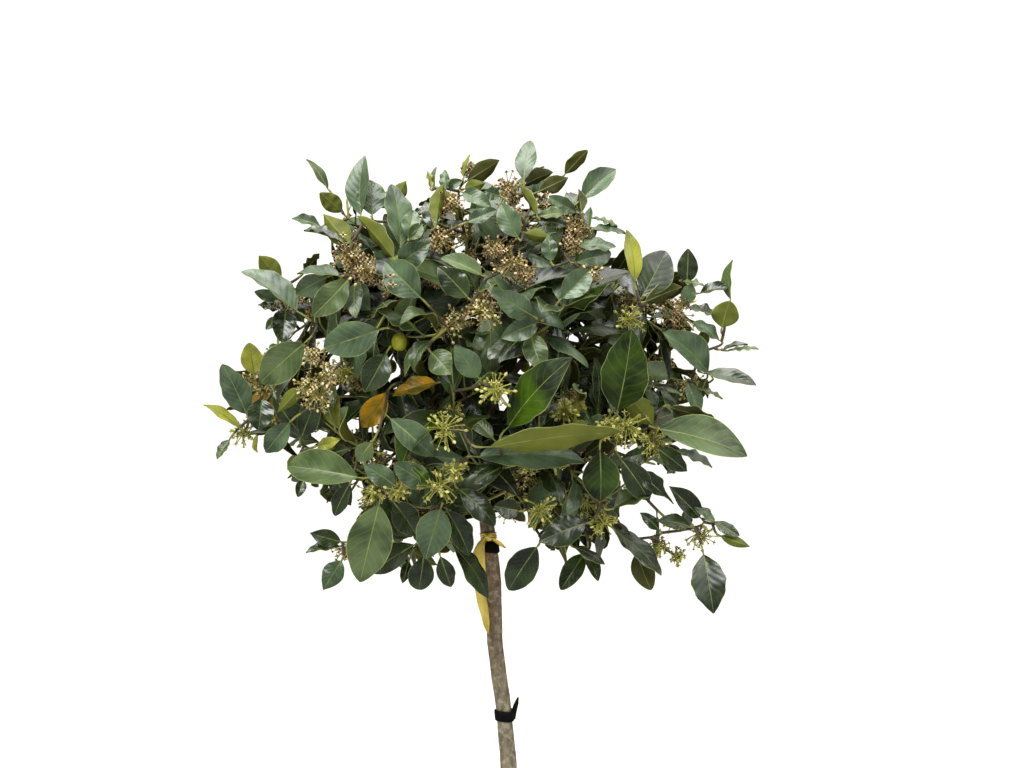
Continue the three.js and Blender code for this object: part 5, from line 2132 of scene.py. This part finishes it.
GREEN_TWIG = StalkFinish("green_twig", rgb(92, 92, 44), rgb(150, 146, 78), scale=60.0)
FLOWER_PARTS = {"flower_stalk": 90.0, "petal": 200.0, "flower_centre": 90.0}  # clouds to the metre
# The dark and the pale colour of each part, by age.
FLOWERS = {
    Ripeness.FRESH: ((118, 122, 38), (174, 172, 76), (140, 142, 66), (206, 202, 126), (92, 84, 40), (146, 132, 62)),
    Ripeness.TAN: ((114, 108, 46), (164, 153, 78), (156, 141, 84), (226, 213, 160), (66, 48, 30), (118, 94, 54)),
    Ripeness.BROWN: ((110, 98, 46), (166, 150, 82), (138, 112, 74), (232, 212, 158), (46, 30, 20), (92, 66, 44)),
}
BERRY_SKIN = StalkFinish("unripe_berry_skin", rgb(84, 92, 12), rgb(150, 152, 36), roughness=0.3, scale=110.0)
BERRY_NAVEL = StalkFinish("berry_navel", rgb(50, 40, 14), rgb(84, 70, 26))
STEM_BARK = BarkFinish(
    "stem_bark", rgb(124, 101, 77), rgb(130, 122, 99), rgb(190, 182, 154), rgb(64, 54, 40), rgb(190, 172, 142)
)
# Painted shade: the twigs' bark is darker than the stem's, part the older twigs' own dark grey-brown, part the shade
# inside the crown.
TWIG_BARK_AND_PAINTED_SHADE = BarkFinish(
    "twig_bark_and_painted_shade", rgb(84, 72, 50), rgb(92, 80, 58), rgb(132, 120, 92), rgb(48, 40, 28), rgb(134, 120, 92), crusts=0.3
)
RUBBER = StrapFinish("black_rubber", rgb(5, 5, 7), rgb(32, 30, 34))
YELLOW_CLOTH = RibbonFinish("yellow_ribbon", rgb(196, 168, 52), rgb(228, 204, 98))
FLOOR = Finish("pale_floor", rgb(246, 246, 245), rgb(250, 250, 249))


def main() -> None:
    """Builds the studio, then the plant from its stem outwards."""
    logging.basicConfig(level=logging.INFO, format="%(name)s: %(message)s")
    Studio().build(FLOOR)
    stem = Stem()
    growth, ribbon = Growth(stem, Crown()), LabelRibbon(stem)
    growth.room.show(stem.front(0.66, 0.795))
    for end in ribbon.ends():
        growth.room.show(end.reshape(-1, 3))
    growth.grow_wood()
    growth.place_front()
    growth.grow_blossom()
    growth.grow_leaves()
    GROWS.info("%d shoots, %d leaves, %d clusters", len(growth.shoots), len(growth.leaves), len(growth.clusters))
    stem.build(STEM_BARK)
    Boughs(growth).build(STEM_BARK)
    Twigs(growth).build(TWIG_BARK_AND_PAINTED_SHADE, GREEN_TWIG)
    foliage = Foliage(growth, RIB, EDGE)
    for tone, blade in LEAVES.items():
        foliage.build(tone, blade, UNDERSIDES.get(tone, UNDERSIDE))
    blossom = Blossom(growth)
    for age, colours in FLOWERS.items():
        parts = zip(FLOWER_PARTS.items(), colours[::2], colours[1::2])
        blossom.build(age, [StalkFinish(f"{age.value}_{part}", rgb(*a), rgb(*b), scale=c) for (part, c), a, b in parts])
    Berries(growth).build(BERRY_SKIN, BERRY_NAVEL)
    TieStrap("tie_strap_upper", stem, 0.769, 0.012).build(RUBBER)
    TieStrap("tie_strap_lower", stem, 0.592, 0.011, end_length=0.024).build(RUBBER)
    ribbon.build(YELLOW_CLOTH)


if __name__ == "__main__":
    main()
